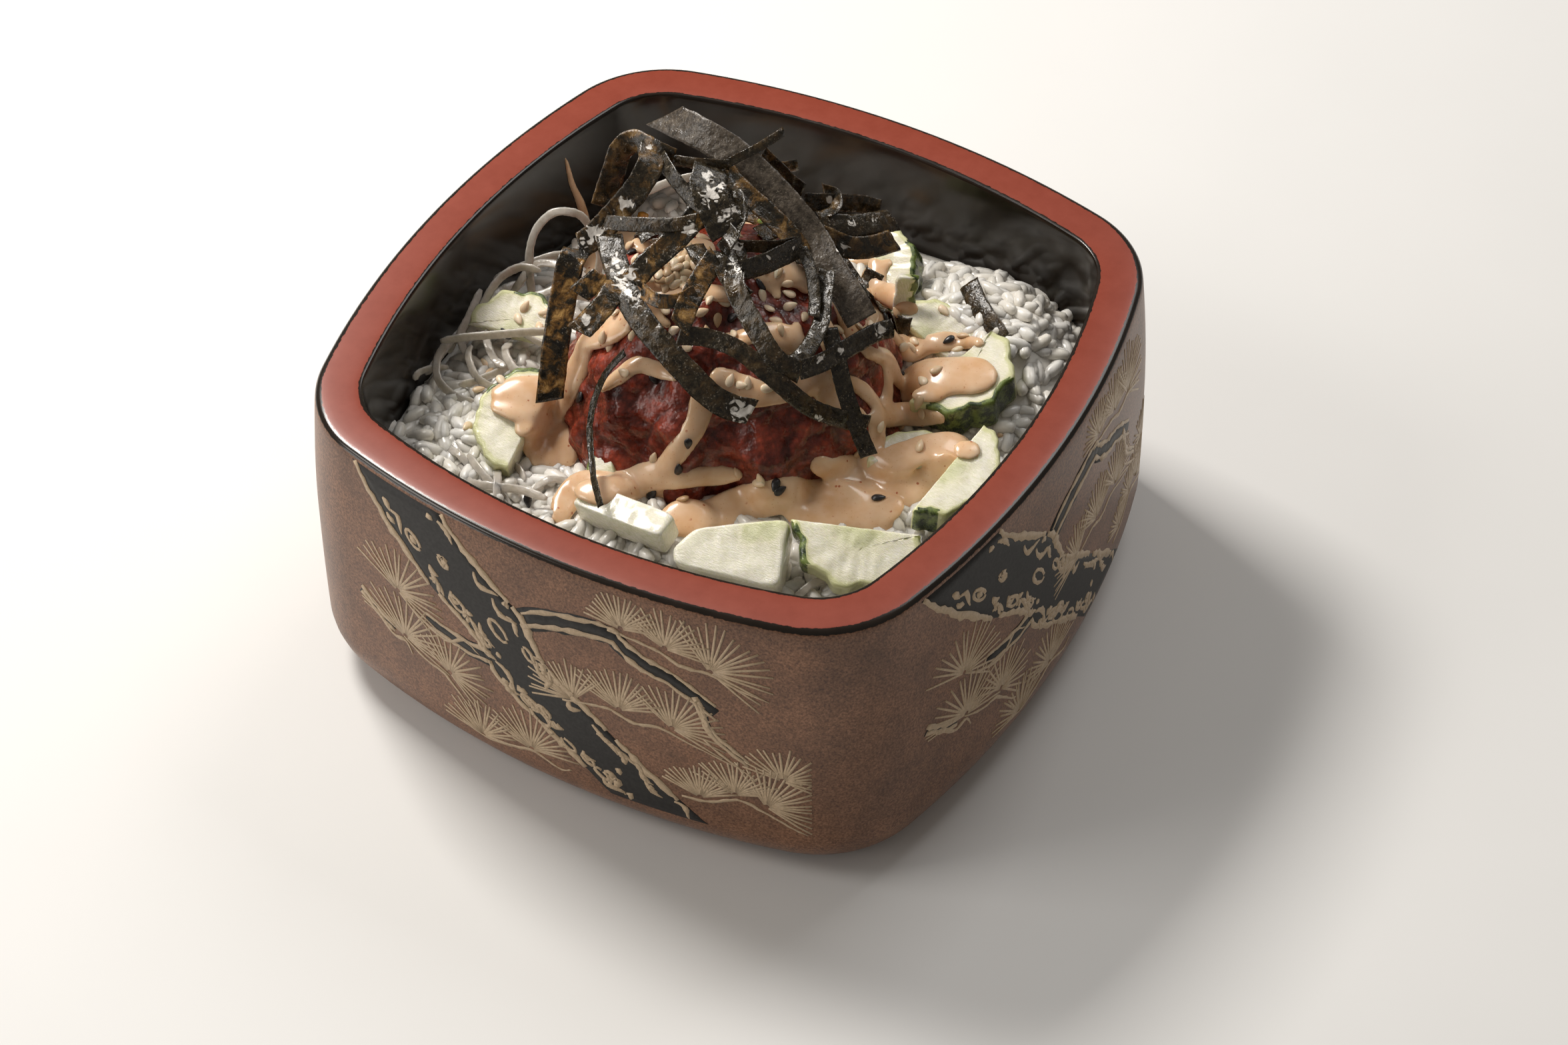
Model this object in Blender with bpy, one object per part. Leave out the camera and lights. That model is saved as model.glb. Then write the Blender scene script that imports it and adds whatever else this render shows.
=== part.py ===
"""A bowed-sided square lacquered bowl holding rice, a mound of spiced tuna, cucumber, daikon and nori.

Metres, +Z up. The origin is on the table under the middle of the bowl. -Y is the front left wall,
+X the front right wall, so the corner (+X, -Y) is the one nearest to the viewer.
"""
import math
import random

import bmesh
import bpy
from mathutils import Matrix, Vector, noise
from mathutils.bvhtree import BVHTree

MM = 0.001
SEED = 7
GAP = 0.4 * MM              # clearance between touching pieces
CUT_GAP = 0.7 * MM          # how far a neighbour is grown before it cuts a piece

# Bowl: half-widths across the flats and heights, from under the foot, up the outside and down inside
SIDE_BOW = 2.64             # radius of a bowed side, over the half-width
SIDE_STEPS = 6
CORNER_STEPS = 4
BOWL_PROFILE = [            # half-width, height, corner radius
    (62.0, 1.2, 19.0), (62.0, 0.0, 19.0), (71.0, 0.0, 24.0), (73.3, 2.9, 25.0), (77.4, 8.7, 25.4),
    (77.4, 18.0, 25.6), (77.1, 32.5, 25.7), (76.6, 50.5, 25.7), (75.0, 70.6, 25.7), (74.5, 71.7, 25.2),
    (73.4, 72.1, 24.6), (66.2, 72.1, 15.9), (65.5, 71.6, 15.2), (65.2, 60.0, 15.2), (64.5, 30.0, 15.6),
    (63.0, 18.0, 17.0), (58.0, 13.0, 18.0), (50.0, 12.0, 18.0),
]

INNER_START = 14            # the profile from here on is the floor and lower wall that the rice fills

# Rice: the level in the middle and the heaps and dips on it (x, y, rise, reach)
RICE_LEVEL = 48.0 * MM
RICE_TOP_HALF = 64.8 * MM
RICE_TOP_CORNER = 15.3 * MM
RICE_HEAPS = [
    (40, 44, 10.0, 21), (-48, -40, 2.0, 22), (2, -50, 1.5, 20), (-42, 34, -4.5, 30), (52, -44, -2.0, 18),
]
RICE_WALL_FALL = 2.5 * MM   # the rice sinks this far at the wall,
RICE_WALL_REACH = 64.0 * MM
RICE_WALL_START = 0.8       # from this share of the way out
RICE_LUMP = 1.6 * MM
RICE_LUMP_SIZE = 8.0 * MM
RICE_RINGS = [0.93, 0.85, 0.75, 0.63, 0.49, 0.33, 0.16]
GRAIN_LENGTH = 6.6 * MM
GRAIN_WIDTH = 2.9 * MM
GRAIN_FLATNESS = 0.8
GRAIN_STRETCH = (0.85, 1.1)
GRAIN_PITCH = 0.5           # steepest lie of a grain, in radians
GRAIN_RAISED = 0.3          # of its width, above the rice
GRAIN_SPACING = 5.8 * MM
GRAIN_JITTER = (0.15, 0.85)
EGG_SIDES = 5
EGG_RINGS = 4
# Where the grains lie open: x range, y range
GRAIN_FIELDS = [((18, 61), (24, 61)), ((46, 62), (2, 24)), ((-61, -32), (-60, -26)), ((-30, 18), (-62, -54))]

# Tuna mound
TUNA_CENTRE = Vector((-3.0, 2.0, 0.0)) * MM
TUNA_RADIUS = 37.0 * MM
TUNA_TOP = 87.0 * MM
TUNA_BASE = 44.0 * MM
TUNA_FLANK = (2.3, 0.62)    # exponents of the mound's profile
TUNA_STEPS = 38
TUNA_RINGS = [0.16, 0.32, 0.47, 0.60, 0.71, 0.80, 0.87, 0.925, 0.965, 0.99, 1.0]
TUNA_LOBE = 2.6 * MM
TUNA_LOBE_PITCH = 1.9
TUNA_LUMP = 2.3 * MM
TUNA_LUMP_SIZE = 9.0 * MM
TUNA_LUMP_SHIFT = Vector((3.1, 0.0, 0.0))
TUNA_CRUMB = 0.9 * MM
TUNA_CRUMB_SIZE = 4.2 * MM
TUNA_NOTCH = (-61.0, 6.5 * MM, 11.0)    # angle, depth and half-angle of the cleft at the front
SAUCE_RIDGE = 1.3 * MM
SAUCE_RIDGE_WIDTH = 3.2 * MM
TUNA_SAUCE = [              # middle lines of the sauce bands on the mound, in plan
    [(-30, -22), (-24, -12), (-16, -9), (-8, -12), (2, -14)],
    [(-22, 2), (-12, -2), (-2, 1), (8, -3), (16, -6)],
    [(2, -14), (12, -16), (20, -14), (27, -9)],
    [(20, 14), (26, 4), (28, -6), (30, -16)],
    [(-1, -34), (2, -27), (2, -19), (0, -12)],
    [(-24, -12), (-28, -18), (-33, -24)],
]
SEED_SIZE = (3.2 * MM, 1.9 * MM, 1.2 * MM)
SEED_RAISED = 0.25          # of its thickness
TUNA_SEEDS = [              # single seeds in plan; the thick cluster is spread by a rule
    (24, 12), (27, 8), (25, 2), (21, 7), (15, -12), (9, -8), (14, -3), (-14, -19), (3, -25), (29, -10),
]
CLUSTER_CENTRE = (-10, -4)
CLUSTER_REACH = 7.0 * MM
CLUSTER_SEEDS = 6

# Cucumber pieces, cut from half-moons. The straight cut lies on local X, the peel bulges to local Y.
CUCUMBER_ARC_STEPS = 10
CUCUMBER_EDGE = 0.9 * MM
CUCUMBER_EASE = 1.6         # how far the eased edge draws in, in edge heights
CUCUMBER_SCALLOP = 0.035
CUCUMBER_SCALLOPS = 9
CUCUMBER_BACK = 0.42        # share of the depth that lies behind the middle
CUCUMBERS = {               # centre, radius, depth, thickness (mm), way the flat looks, way to the peel
    "cucumber_front_chunk": ((0, -45, 55.5), 10.5, 9.0, 8.0, (0.05, -0.22, 0.97), (0.1, -1.0, -0.2)),
    "cucumber_front_wedge": ((24, -42, 56.5), 12.5, 10.0, 6.5, (0.25, -0.62, 0.74), (0.42, -0.55, -0.72)),
    "cucumber_front_slice": ((46, -32, 56.5), 13.0, 12.5, 6.0, (0.2, -0.38, 0.90), (0.35, -0.90, -0.25)),
    "cucumber_right_lower": ((55, -3, 55.5), 13.0, 9.0, 7.5, (0.12, -0.15, 0.98), (1.0, -0.1, -0.1)),
    "cucumber_right_middle": ((44, 22, 56.5), 12.5, 13.0, 8.0, (-0.02, -0.16, 0.99), (0.96, -0.28, 0.0)),
    "cucumber_flat_middle": ((42, 1, 54.5), 10.0, 9.0, 3.6, (0.0, -0.10, 1.0), (-0.4, 0.9, 0.0)),
    "cucumber_upper_right": ((13, 45, 57.0), 9.5, 10.0, 7.0, (-0.10, -0.42, 0.90), (0.95, 0.25, -0.05)),
    "cucumber_under_right": ((31, 33, 57.0), 11.5, 10.5, 4.0, (0.1, -0.22, 0.97), (0.3, 0.95, 0.1)),
    "cucumber_left_slice": ((-50, -5, 55.5), 11.0, 10.5, 3.4, (0.12, -0.36, 0.93), (-0.2, 0.95, 0.35)),
    "cucumber_left_chunk": ((-36, -31, 54.5), 12.5, 12.0, 8.0, (0.12, -0.30, 0.95), (-0.97, -0.05, -0.15)),
    "cucumber_under_front": ((-10, -36, 52.5), 8.0, 7.0, 4.5, (-0.1, -0.45, 0.89), (-0.7, -0.6, -0.2)),
}
SLIVER = ((21.5, 34.0, 62.5), (4.6, 1.6, 10.5), (-12, 8, 30))   # centre, size, turn in degrees

# Sauce that lies thick on the cucumber: piece it is fused to, rope radius and route (mm)
SAUCE_ROPES = [
    ("cucumber_front_chunk", 3.2, [(-11, -50, 56), (-8, -47, 60.5), (-3, -44, 61), (3, -41, 61.5)]),
    ("cucumber_front_wedge", 4.3, [(13, -47, 62), (19, -43, 63), (26, -37, 63), (34, -30, 62.5)]),
    ("cucumber_front_slice", 3.6, [(36, -28, 61), (43, -26, 62), (50, -26, 61.5), (55, -24, 60)]),
    ("cucumber_right_lower", 3.6, [(53, -15, 57.5), (54.5, -10, 59), (54, -3, 59.5)]),
    ("cucumber_flat_middle", 4.2, [(37, -8, 57), (41, -3, 58.5), (44, 3, 58.5)]),
    ("cucumber_right_middle", 4.8, [(33, 17, 60), (39, 18, 61.5), (45, 20, 62), (49, 23, 61)]),
    ("cucumber_under_right", 3.6, [(20, 36, 60), (25, 34, 61), (29, 31, 60)]),
    ("cucumber_left_chunk", 4.2, [(-40, -31, 58), (-35, -28, 60), (-29, -27, 60), (-25, -33, 59),
                                  (-24, -39, 56)]),
]
ROPE_SIDES = 6
ROPE_FLATNESS = 0.62
ROPE_END = 0.62             # size of an end over the middle
ROPE_END_REACH = 0.35       # how far an end runs on, in radii
ROPE_WAVER = (0.08, 2.1)    # change in size along it, and its pitch

# Daikon: shredded strands, routes in mm
STRAND_WIDTH = 1.7 * MM
STRAND_HEIGHT = 1.2 * MM
STRAND_EXTRA = 3            # stations beyond the points of a route
STRAND_TURN = 12.0          # turn from one strand to the next, in degrees
DAIKON_CORE_SIDES = 10
DAIKON_CORE_RINGS = 6
DAIKON_CORE = ((-52, -6, 49.0), (11.5, 25.0, 6.5))
CORE_SWELL = 0.12           # unevenness of a heap's core, and its pitch
CORE_SWELL_PITCH = 2.3
DAIKON_LEFT = [
    [(-54, 5, 51), (-55, 6, 56), (-56, 8, 62), (-56, 11, 66), (-54, 14, 69), (-51, 16, 69.5), (-48, 18, 67),
     (-44, 17, 60), (-44, 14, 52)],
    [(-61, 1, 56.5), (-60, 3, 57.5), (-57, 8, 58), (-52, 13, 59), (-46, 15, 59)],
    [(-61, -4, 58.5), (-60, -10, 56.5), (-60, -14, 54), (-58, -16, 51)],
    [(-61, -20, 56.5), (-56, -17, 57.5), (-50, -14, 58.5), (-44, -11, 59.5), (-38, -8, 60)],
    [(-60, -18, 56), (-60, -23, 54), (-57, -27, 52.5), (-52, -28, 51), (-48, -27, 50.5)],
    [(-57, -15, 53), (-54, -20, 55), (-50, -23, 53.5), (-46, -22, 51)],
    [(-50, -10, 53), (-48, -15, 55.5), (-44, -18, 55), (-40, -18, 54)],
    [(-58, 2, 53), (-55, 8, 58.5), (-49, 9.5, 60), (-43, 10, 59)],
    [(-58, -12, 53), (-59, -6, 57), (-59, 0, 59), (-57, 5, 59.5), (-52, 6, 60)],
    [(-59, -15, 52), (-58, -10, 55.5), (-56, -6, 56.5), (-54, -2, 54)],
    [(-46, 14, 57), (-49, 6, 56), (-55, 1, 54), (-60, -2, 52)],
]
FRONT_CORE = ((-29, -47, 48.5), (9.0, 4.5, 4.5))
DAIKON_FRONT = [
    [(-40, -42, 52), (-35, -45, 52.5), (-30, -47, 51.5), (-25, -49, 50.5)],
    [(-41, -44, 50.5), (-36, -48, 51.5), (-30, -48, 53), (-24, -46, 53), (-18, -46, 53.5)],
    [(-33, -42, 51), (-30, -46, 53.5), (-27, -51, 52), (-24, -54, 50.5)],
]
CORNER_CORE = ((41, -48, 47.0), (8.0, 4.5, 4.0))
DAIKON_CORNER = [
    [(31, -50, 49.5), (37, -47, 51.5), (43, -46, 51), (48, -49, 49)],
    [(34, -53, 49), (39, -51, 50.5), (45, -49, 50), (50, -45, 49)],
]

# Nori: a crumpled core on the mound with strips fused to it. Width and routes in mm.
NORI_THICKNESS = 0.55 * MM
NORI_LIFT = 1.5 * MM        # how far a strip stays off the mound
NORI_STATIONS = 6
NORI_CORE_SIDES = 14
NORI_CORE_RINGS = 8
NORI_CORE = ((-8, 7, 93.5), (18.0, 14.0, 7.0))
NORI_CRUMPLE = 3.0 * MM
NORI_CRUMPLE_SIZE = 6.0 * MM
NORI_STRIPS = [
    (6.4, 10, [(-27, 21, 101), (-15, 20, 102), (-4, 17, 100.5), (7, 13, 97), (15, 10, 93), (22, 7, 88),
               (28, 4, 82)]),
    (4.6, -20, [(-20, 10, 101), (-28, 7, 101), (-30, 4, 94), (-22, 2, 90)]),
    (4.4, 25, [(-17, 11, 99), (-24, 7, 100), (-27, 0, 95), (-29, -5, 91), (-32, -8, 87)]),
    (5.4, 5, [(-21, 0, 94), (-27, -6, 90), (-30, -11, 85), (-30.5, -17, 77), (-31, -23, 70), (-31.5, -29, 61)]),
    (5.0, 15, [(-24, 0, 92), (-21, -9, 89), (-16, -14, 86), (-10, -18, 83), (-3, -21, 80), (5, -23, 76),
               (13, -23, 72)]),
    (3.5, 35, [(-9, -2, 92), (-5, -12, 88), (3, -16, 85), (11, -15, 83), (18, -14, 79), (25, -10, 74),
               (31, -8, 66), (36, -9, 60)]),
    (4.0, -10, [(-4, 3, 93), (1, -4, 90), (7, -9, 87), (14, -12, 84), (20, -11, 79)]),
    (4.2, 10, [(8, 12, 92), (14, 8, 88), (19, 1, 84), (22, -6, 79)]),
    (3.6, 30, [(12, 12, 90), (18, 8, 86), (24, 2, 80), (30, -3, 72), (33, -6, 62)]),
    (3.5, 50, [(19, -11, 82), (25, -1, 79), (28, 6, 77), (30, 13, 72), (31, 19, 66)]),
    (4.4, 20, [(-22, 8, 103), (-15, 6, 101), (-7, 1, 97), (-2, -3, 94), (3, -5, 91)]),
    (7.0, -15, [(-11, 10, 102), (-8, 7, 101), (-5, 3, 97), (-2, -1, 93)]),
    (4.5, 0, [(-4, 12, 101), (2, 10, 98), (8, 11, 93), (13, 12, 89)]),
    (3.6, 15, [(-3, -2, 92), (2, 1, 94), (9, 6, 92), (14, 10, 88)]),
    (4.0, -25, [(-7, -19, 84), (-4, -13, 88), (-2, -6, 91), (0, 0, 93)]),
    (3.2, 60, [(-17, -12, 86), (-11, -14, 87), (-6, -12, 89), (-3, -6, 92)]),
    (4.4, 5, [(-21, -11, 89), (-16, -5, 93), (-11, 2, 97), (-6, 6, 99)]),
    (3.4, 40, [(-35, -5, 66), (-32, -9, 75), (-28, -8, 84), (-22, -4, 90)]),
    (4.6, 20, [(0, 14, 95), (4, 22, 92), (7, 30, 87), (10, 39, 80)]),
    (5.0, -15, [(2, 12, 92), (8, 22, 88), (12, 31, 83), (16, 40, 77)]),
    (4.2, 10, [(4, 10, 90), (10, 21, 84), (14, 31, 79), (19, 39, 74)]),
    (2.5, 70, [(-9, 10, 100), (-7, 16, 102), (-5, 22, 103), (-3, 28, 104)]),
    (2.2, 85, [(-11, -14, 86), (-14, -21, 80), (-18, -27, 72), (-20, -33, 64), (-16, -41, 62),
               (-11, -46, 63.5)]),
    (3.8, 0, [(-21, 9, 102), (-15, 12, 103), (-9, 14, 102), (-3, 12, 99)]),
]
NORI_SCRAP = (4.5, 20, [(31, 45, 62), (35, 41, 61.5), (39, 38, 61), (44, 35, 59.5)])
NORI_SCRAP_STATIONS = 6
STEEP = 0.2                 # a route steeper than this keeps its last side

MATERIALS = {               # colour, roughness
    "lacquer": ((0.16, 0.065, 0.033), 0.35),
    "rice": ((0.78, 0.77, 0.72), 0.40),
    "tuna": ((0.36, 0.035, 0.020), 0.22),
    "cucumber": ((0.62, 0.68, 0.42), 0.30),
    "daikon": ((0.74, 0.72, 0.64), 0.30),
    "nori": ((0.022, 0.020, 0.013), 0.35),
}


def clear_scene():
    for obj in list(bpy.data.objects):
        bpy.data.objects.remove(obj, do_unlink=True)


def make_material(name):
    colour, roughness = MATERIALS[name]
    material = bpy.data.materials.new(name)
    material.use_nodes = True
    shader = material.node_tree.nodes["Principled BSDF"]
    shader.inputs["Base Color"].default_value = (*colour, 1.0)
    shader.inputs["Roughness"].default_value = roughness
    shader.inputs["Metallic"].default_value = 0.0
    return material


def make_object(name, body, material=None):
    """Turn a bmesh into an object with its faces pointing out."""
    bmesh.ops.recalc_face_normals(body, faces=body.faces)
    if body.calc_volume(signed=True) < 0:
        bmesh.ops.reverse_faces(body, faces=body.faces)
    mesh = bpy.data.meshes.new(name)
    body.to_mesh(mesh)
    body.free()
    obj = bpy.data.objects.new(name, mesh)
    bpy.context.scene.collection.objects.link(obj)
    if material:
        mesh.materials.append(material)
    mesh.shade_smooth()
    return obj


def loft(rings):
    """A closed body through rings of equal point count; each end is fanned to its middle."""
    body = bmesh.new()
    loops = [[body.verts.new(point) for point in ring] for ring in rings]
    count = len(loops[0])
    for lower, upper in zip(loops, loops[1:]):
        for i in range(count):
            j = (i + 1) % count
            body.faces.new((lower[i], lower[j], upper[j], upper[i]))
    for loop in (loops[0], loops[-1]):
        hub = body.verts.new(sum((vert.co for vert in loop), Vector()) / count)
        for i in range(count):
            body.faces.new((loop[i], loop[(i + 1) % count], hub))
    return body


def smooth_route(points, stations):
    """Catmull-Rom curve through the points, sampled at evenly spaced stations."""
    points = [Vector(point) * MM for point in points]
    ends = [2 * points[0] - points[1]] + points + [2 * points[-1] - points[-2]]
    route = []
    for i in range(stations):
        place = i / (stations - 1) * (len(points) - 1)
        k = min(int(place), len(points) - 2)
        t = place - k
        a, b, c, d = ends[k:k + 4]
        route.append(0.5 * (2 * b + (c - a) * t + (2 * a - 5 * b + 4 * c - d) * t**2
                            + (3 * b - a - 3 * c + d) * t**3))
    return route


def frames(route, tilt=0.0):
    """Tangent, side and up at each station; tilt turns the side about the tangent, in degrees."""
    result = []
    for i, point in enumerate(route):
        ahead = route[min(i + 1, len(route) - 1)] - route[max(i - 1, 0)]
        tangent = ahead.normalized()
        side = tangent.cross(Vector((0, 0, 1)))
        if side.length < STEEP:
            side = result[-1][1] if result else Vector((1, 0, 0))
        side = side.normalized()
        turned = Matrix.Rotation(math.radians(tilt), 3, tangent) @ side
        result.append((tangent, turned, turned.cross(tangent).normalized()))
    return result


def square_outline(half, corner_radius):
    """Points round a square with bowed sides and round corners, anticlockwise from +X."""
    side_radius = half * SIDE_BOW
    back = half - side_radius
    reach = side_radius - corner_radius
    corner = (back + math.sqrt(2 * reach**2 - back**2)) / 2
    swing = math.atan2(corner, corner - back)
    quarter = []
    for i in range(SIDE_STEPS):
        angle = swing * (2 * i / SIDE_STEPS - 1)
        quarter.append((back + side_radius * math.cos(angle), side_radius * math.sin(angle)))
    for i in range(CORNER_STEPS):
        angle = swing + (math.pi / 2 - 2 * swing) * i / CORNER_STEPS
        quarter.append((corner + corner_radius * math.cos(angle), corner + corner_radius * math.sin(angle)))
    points = []
    for turn in range(4):
        cosine, sine = round(math.cos(turn * math.pi / 2)), round(math.sin(turn * math.pi / 2))
        points += [(x * cosine - y * sine, x * sine + y * cosine) for x, y in quarter]
    return points


def apply_modifiers(obj):
    graph = bpy.context.evaluated_depsgraph_get()
    mesh = bpy.data.meshes.new_from_object(obj.evaluated_get(graph))
    obj.modifiers.clear()
    obj.data = mesh


def largest_island(obj):
    """Keep a piece's main body: drop loose scraps, and fill hollows that a union sealed."""
    body = bmesh.new()
    body.from_mesh(obj.data)
    bmesh.ops.triangulate(body, faces=body.faces)
    waiting = set(body.faces)
    islands = []
    while waiting:
        seed = waiting.pop()
        island, front = [seed], [seed]
        while front:
            for edge in front.pop().edges:
                for face in edge.link_faces:
                    if face in waiting and edge.is_manifold:
                        waiting.remove(face)
                        island.append(face)
                        front.append(face)
        islands.append(island)
    islands.sort(key=lambda island: sum(face.calc_area() for face in island), reverse=True)
    extra = [face for island in islands[1:] for face in island]
    bmesh.ops.delete(body, geom=extra, context="FACES")
    body.to_mesh(obj.data)
    body.free()


def fuse(base, extras):
    """Join the extras to the base by one union on a collection, and remove them.

    The manifold solver keeps the many small overlapping bodies closed, where the exact one tears them.
    """
    if not extras:
        return
    group = bpy.data.collections.new(base.name + "_extras")
    bpy.context.scene.collection.children.link(group)
    for extra in extras:
        bpy.context.scene.collection.objects.unlink(extra)
        group.objects.link(extra)
    union = base.modifiers.new("union", "BOOLEAN")
    union.operation = "UNION"
    union.operand_type = "COLLECTION"
    union.collection = group
    union.solver = "MANIFOLD"
    apply_modifiers(base)
    for extra in extras:
        bpy.data.objects.remove(extra, do_unlink=True)
    bpy.data.collections.remove(group)
    largest_island(base)


def grown(obj, distance):
    """A copy of a plain shape with its skin moved out, used to cut later pieces clear of it."""
    body = bmesh.new()
    body.from_mesh(obj.data)
    body.normal_update()
    moves = [vert.normal * distance * vert.calc_shell_factor() for vert in body.verts]
    for vert, move in zip(body.verts, moves):
        vert.co += move
    cutter = make_object(obj.name + "_clearance", body)
    cutter.hide_render = True
    cutter.display_type = "WIRE"
    return cutter


def reach_of(obj):
    corners = [vert.co for vert in obj.data.vertices]
    return [(min(c[i] for c in corners), max(c[i] for c in corners)) for i in range(3)]


def trim(obj, cutters):
    """Cut a piece clear of each cutter that comes near it."""
    for cutter in cutters:
        if not obj.data.vertices:
            return
        if not all(a[0] < b[1] and b[0] < a[1] for a, b in zip(reach_of(obj), reach_of(cutter))):
            continue
        cut = obj.modifiers.new("cut", "BOOLEAN")
        cut.operation = "DIFFERENCE"
        cut.object = cutter
        cut.solver = "MANIFOLD"
        apply_modifiers(obj)
        largest_island(obj)


def tree_of(obj):
    body = bmesh.new()
    body.from_mesh(obj.data)
    tree = BVHTree.FromBMesh(body)
    body.free()
    return tree


def inside(tree, point):
    normal = tree.ray_cast(point, Vector((0, 0, 1)))[1]
    return normal is not None and normal.z > 0


def height_finder(obj):
    """A function giving the top height of a piece at x, y, or None beside it."""
    tree = tree_of(obj)

    def height(x, y):
        hit = tree.ray_cast(Vector((x, y, 1.0)), Vector((0, 0, -1)))[0]
        return hit.z if hit else None
    return height


def build_bowl(material):
    rings = []
    for half, height, corner in BOWL_PROFILE:
        outline = square_outline(half * MM, corner * MM)
        rings.append([(x, y, height * MM) for x, y in outline])
    return make_object("bowl", loft(rings), material)


def rice_height(x, y):
    height = RICE_LEVEL
    for heap_x, heap_y, rise, reach in RICE_HEAPS:
        away = math.hypot(x - heap_x * MM, y - heap_y * MM) / (reach * MM)
        height += rise * MM * math.exp(-away**2)
    height += RICE_LUMP * noise.noise(Vector((x, y, 0)) / RICE_LUMP_SIZE)
    outward = max(abs(x), abs(y)) / RICE_WALL_REACH
    return height - RICE_WALL_FALL * max(0.0, outward - RICE_WALL_START) / (1 - RICE_WALL_START)


def build_rice_core(material):
    rings = []
    for half, height, corner in reversed(BOWL_PROFILE[INNER_START:]):
        outline = square_outline(half * MM - GAP, corner * MM)
        rings.append([(x, y, height * MM + GAP) for x, y in outline])
    for scale in [1.0] + RICE_RINGS:
        outline = square_outline((RICE_TOP_HALF - GAP) * scale, RICE_TOP_CORNER * scale)
        rings.append([(x, y, rice_height(x, y)) for x, y in outline])
    return make_object("rice", loft(rings), material)


def egg(name, centre, size, turn):
    """A low-sided grain or seed: size is length, width and height."""
    body = bmesh.new()
    bmesh.ops.create_uvsphere(body, u_segments=EGG_SIDES, v_segments=EGG_RINGS, radius=0.5)
    stand = Matrix.Rotation(math.pi / 2, 4, "Y")
    scale = Matrix.Diagonal((size[0], size[1], size[2], 1.0))
    body.transform(Matrix.Translation(centre) @ turn.to_4x4() @ scale @ stand)
    return make_object(name, body)


def build_grains(core, cutters):
    """Grains lying half sunk in the open rice, spread on a jittered grid, clear of the toppings."""
    rng = random.Random(SEED)
    trees = [tree_of(cutter) for cutter in cutters]
    top = height_finder(core)
    grains = []
    for (x_low, x_high), (y_low, y_high) in GRAIN_FIELDS:
        columns = int((x_high - x_low) * MM / GRAIN_SPACING)
        rows = int((y_high - y_low) * MM / GRAIN_SPACING)
        for row in range(rows):
            for column in range(columns):
                x = x_low * MM + (column + rng.uniform(*GRAIN_JITTER)) * GRAIN_SPACING
                y = y_low * MM + (row + rng.uniform(*GRAIN_JITTER)) * GRAIN_SPACING
                heading = rng.uniform(0, math.pi)
                pitch = rng.uniform(-GRAIN_PITCH, GRAIN_PITCH)
                size = (GRAIN_LENGTH * rng.uniform(*GRAIN_STRETCH), GRAIN_WIDTH, GRAIN_WIDTH * GRAIN_FLATNESS)
                height = top(x, y)
                if height is None:
                    continue
                turn = Matrix.Rotation(heading, 3, "Z") @ Matrix.Rotation(pitch, 3, "Y")
                grain = egg("grain", Vector((x, y, height + GRAIN_RAISED * GRAIN_WIDTH)), size, turn)
                tree = tree_of(grain)
                if any(tree.overlap(near) or inside(near, grain.data.vertices[0].co) for near in trees):
                    bpy.data.objects.remove(grain, do_unlink=True)
                else:
                    grains.append(grain)
    return grains


def sauce_rise(x, y):
    """How much a sauce band thickens the mound at a place in plan."""
    nearest = 1.0
    for line in TUNA_SAUCE:
        for (ax, ay), (bx, by) in zip(line, line[1:]):
            a, b, p = Vector((ax, ay)) * MM, Vector((bx, by)) * MM, Vector((x, y))
            t = max(0.0, min(1.0, (p - a).dot(b - a) / (b - a).length_squared))
            nearest = min(nearest, (p - a - (b - a) * t).length)
    share = max(0.0, 1.0 - (nearest / SAUCE_RIDGE_WIDTH)**2)
    return SAUCE_RIDGE * share


def tuna_reach(angle):
    """The mound's radius at an angle, with lobes and the front cleft."""
    swirl = Vector((math.cos(angle), math.sin(angle), 0.3)) * TUNA_LOBE_PITCH
    notch_angle, notch_depth, notch_half = TUNA_NOTCH
    off = math.degrees(angle) - notch_angle
    off = (off + 180) % 360 - 180
    cleft = notch_depth * math.exp(-(off / notch_half)**2)
    return TUNA_RADIUS + TUNA_LOBE * noise.noise(swirl) - cleft


def build_tuna_core(material):
    rings = []
    for share in reversed(TUNA_RINGS):
        height = TUNA_BASE + (TUNA_TOP - TUNA_BASE) * (1 - share**TUNA_FLANK[0])**TUNA_FLANK[1]
        ring = []
        for i in range(TUNA_STEPS):
            angle = 2 * math.pi * i / TUNA_STEPS
            out = tuna_reach(angle) * share
            ring.append(TUNA_CENTRE + Vector((out * math.cos(angle), out * math.sin(angle), height)))
        rings.append(ring)
    body = loft(rings)
    bmesh.ops.recalc_face_normals(body, faces=body.faces)
    body.normal_update()
    moved = []
    for vert in body.verts:
        lump = TUNA_LUMP * noise.noise(vert.co / TUNA_LUMP_SIZE + TUNA_LUMP_SHIFT)
        crumb = TUNA_CRUMB * noise.noise(vert.co / TUNA_CRUMB_SIZE)
        normal = vert.normal if vert.co.z > TUNA_BASE + MM else Vector()
        moved.append(vert.co + normal * (lump + crumb + sauce_rise(vert.co.x, vert.co.y)))
    for vert, place in zip(body.verts, moved):
        vert.co = place
    return make_object("tuna", body, material)


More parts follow.
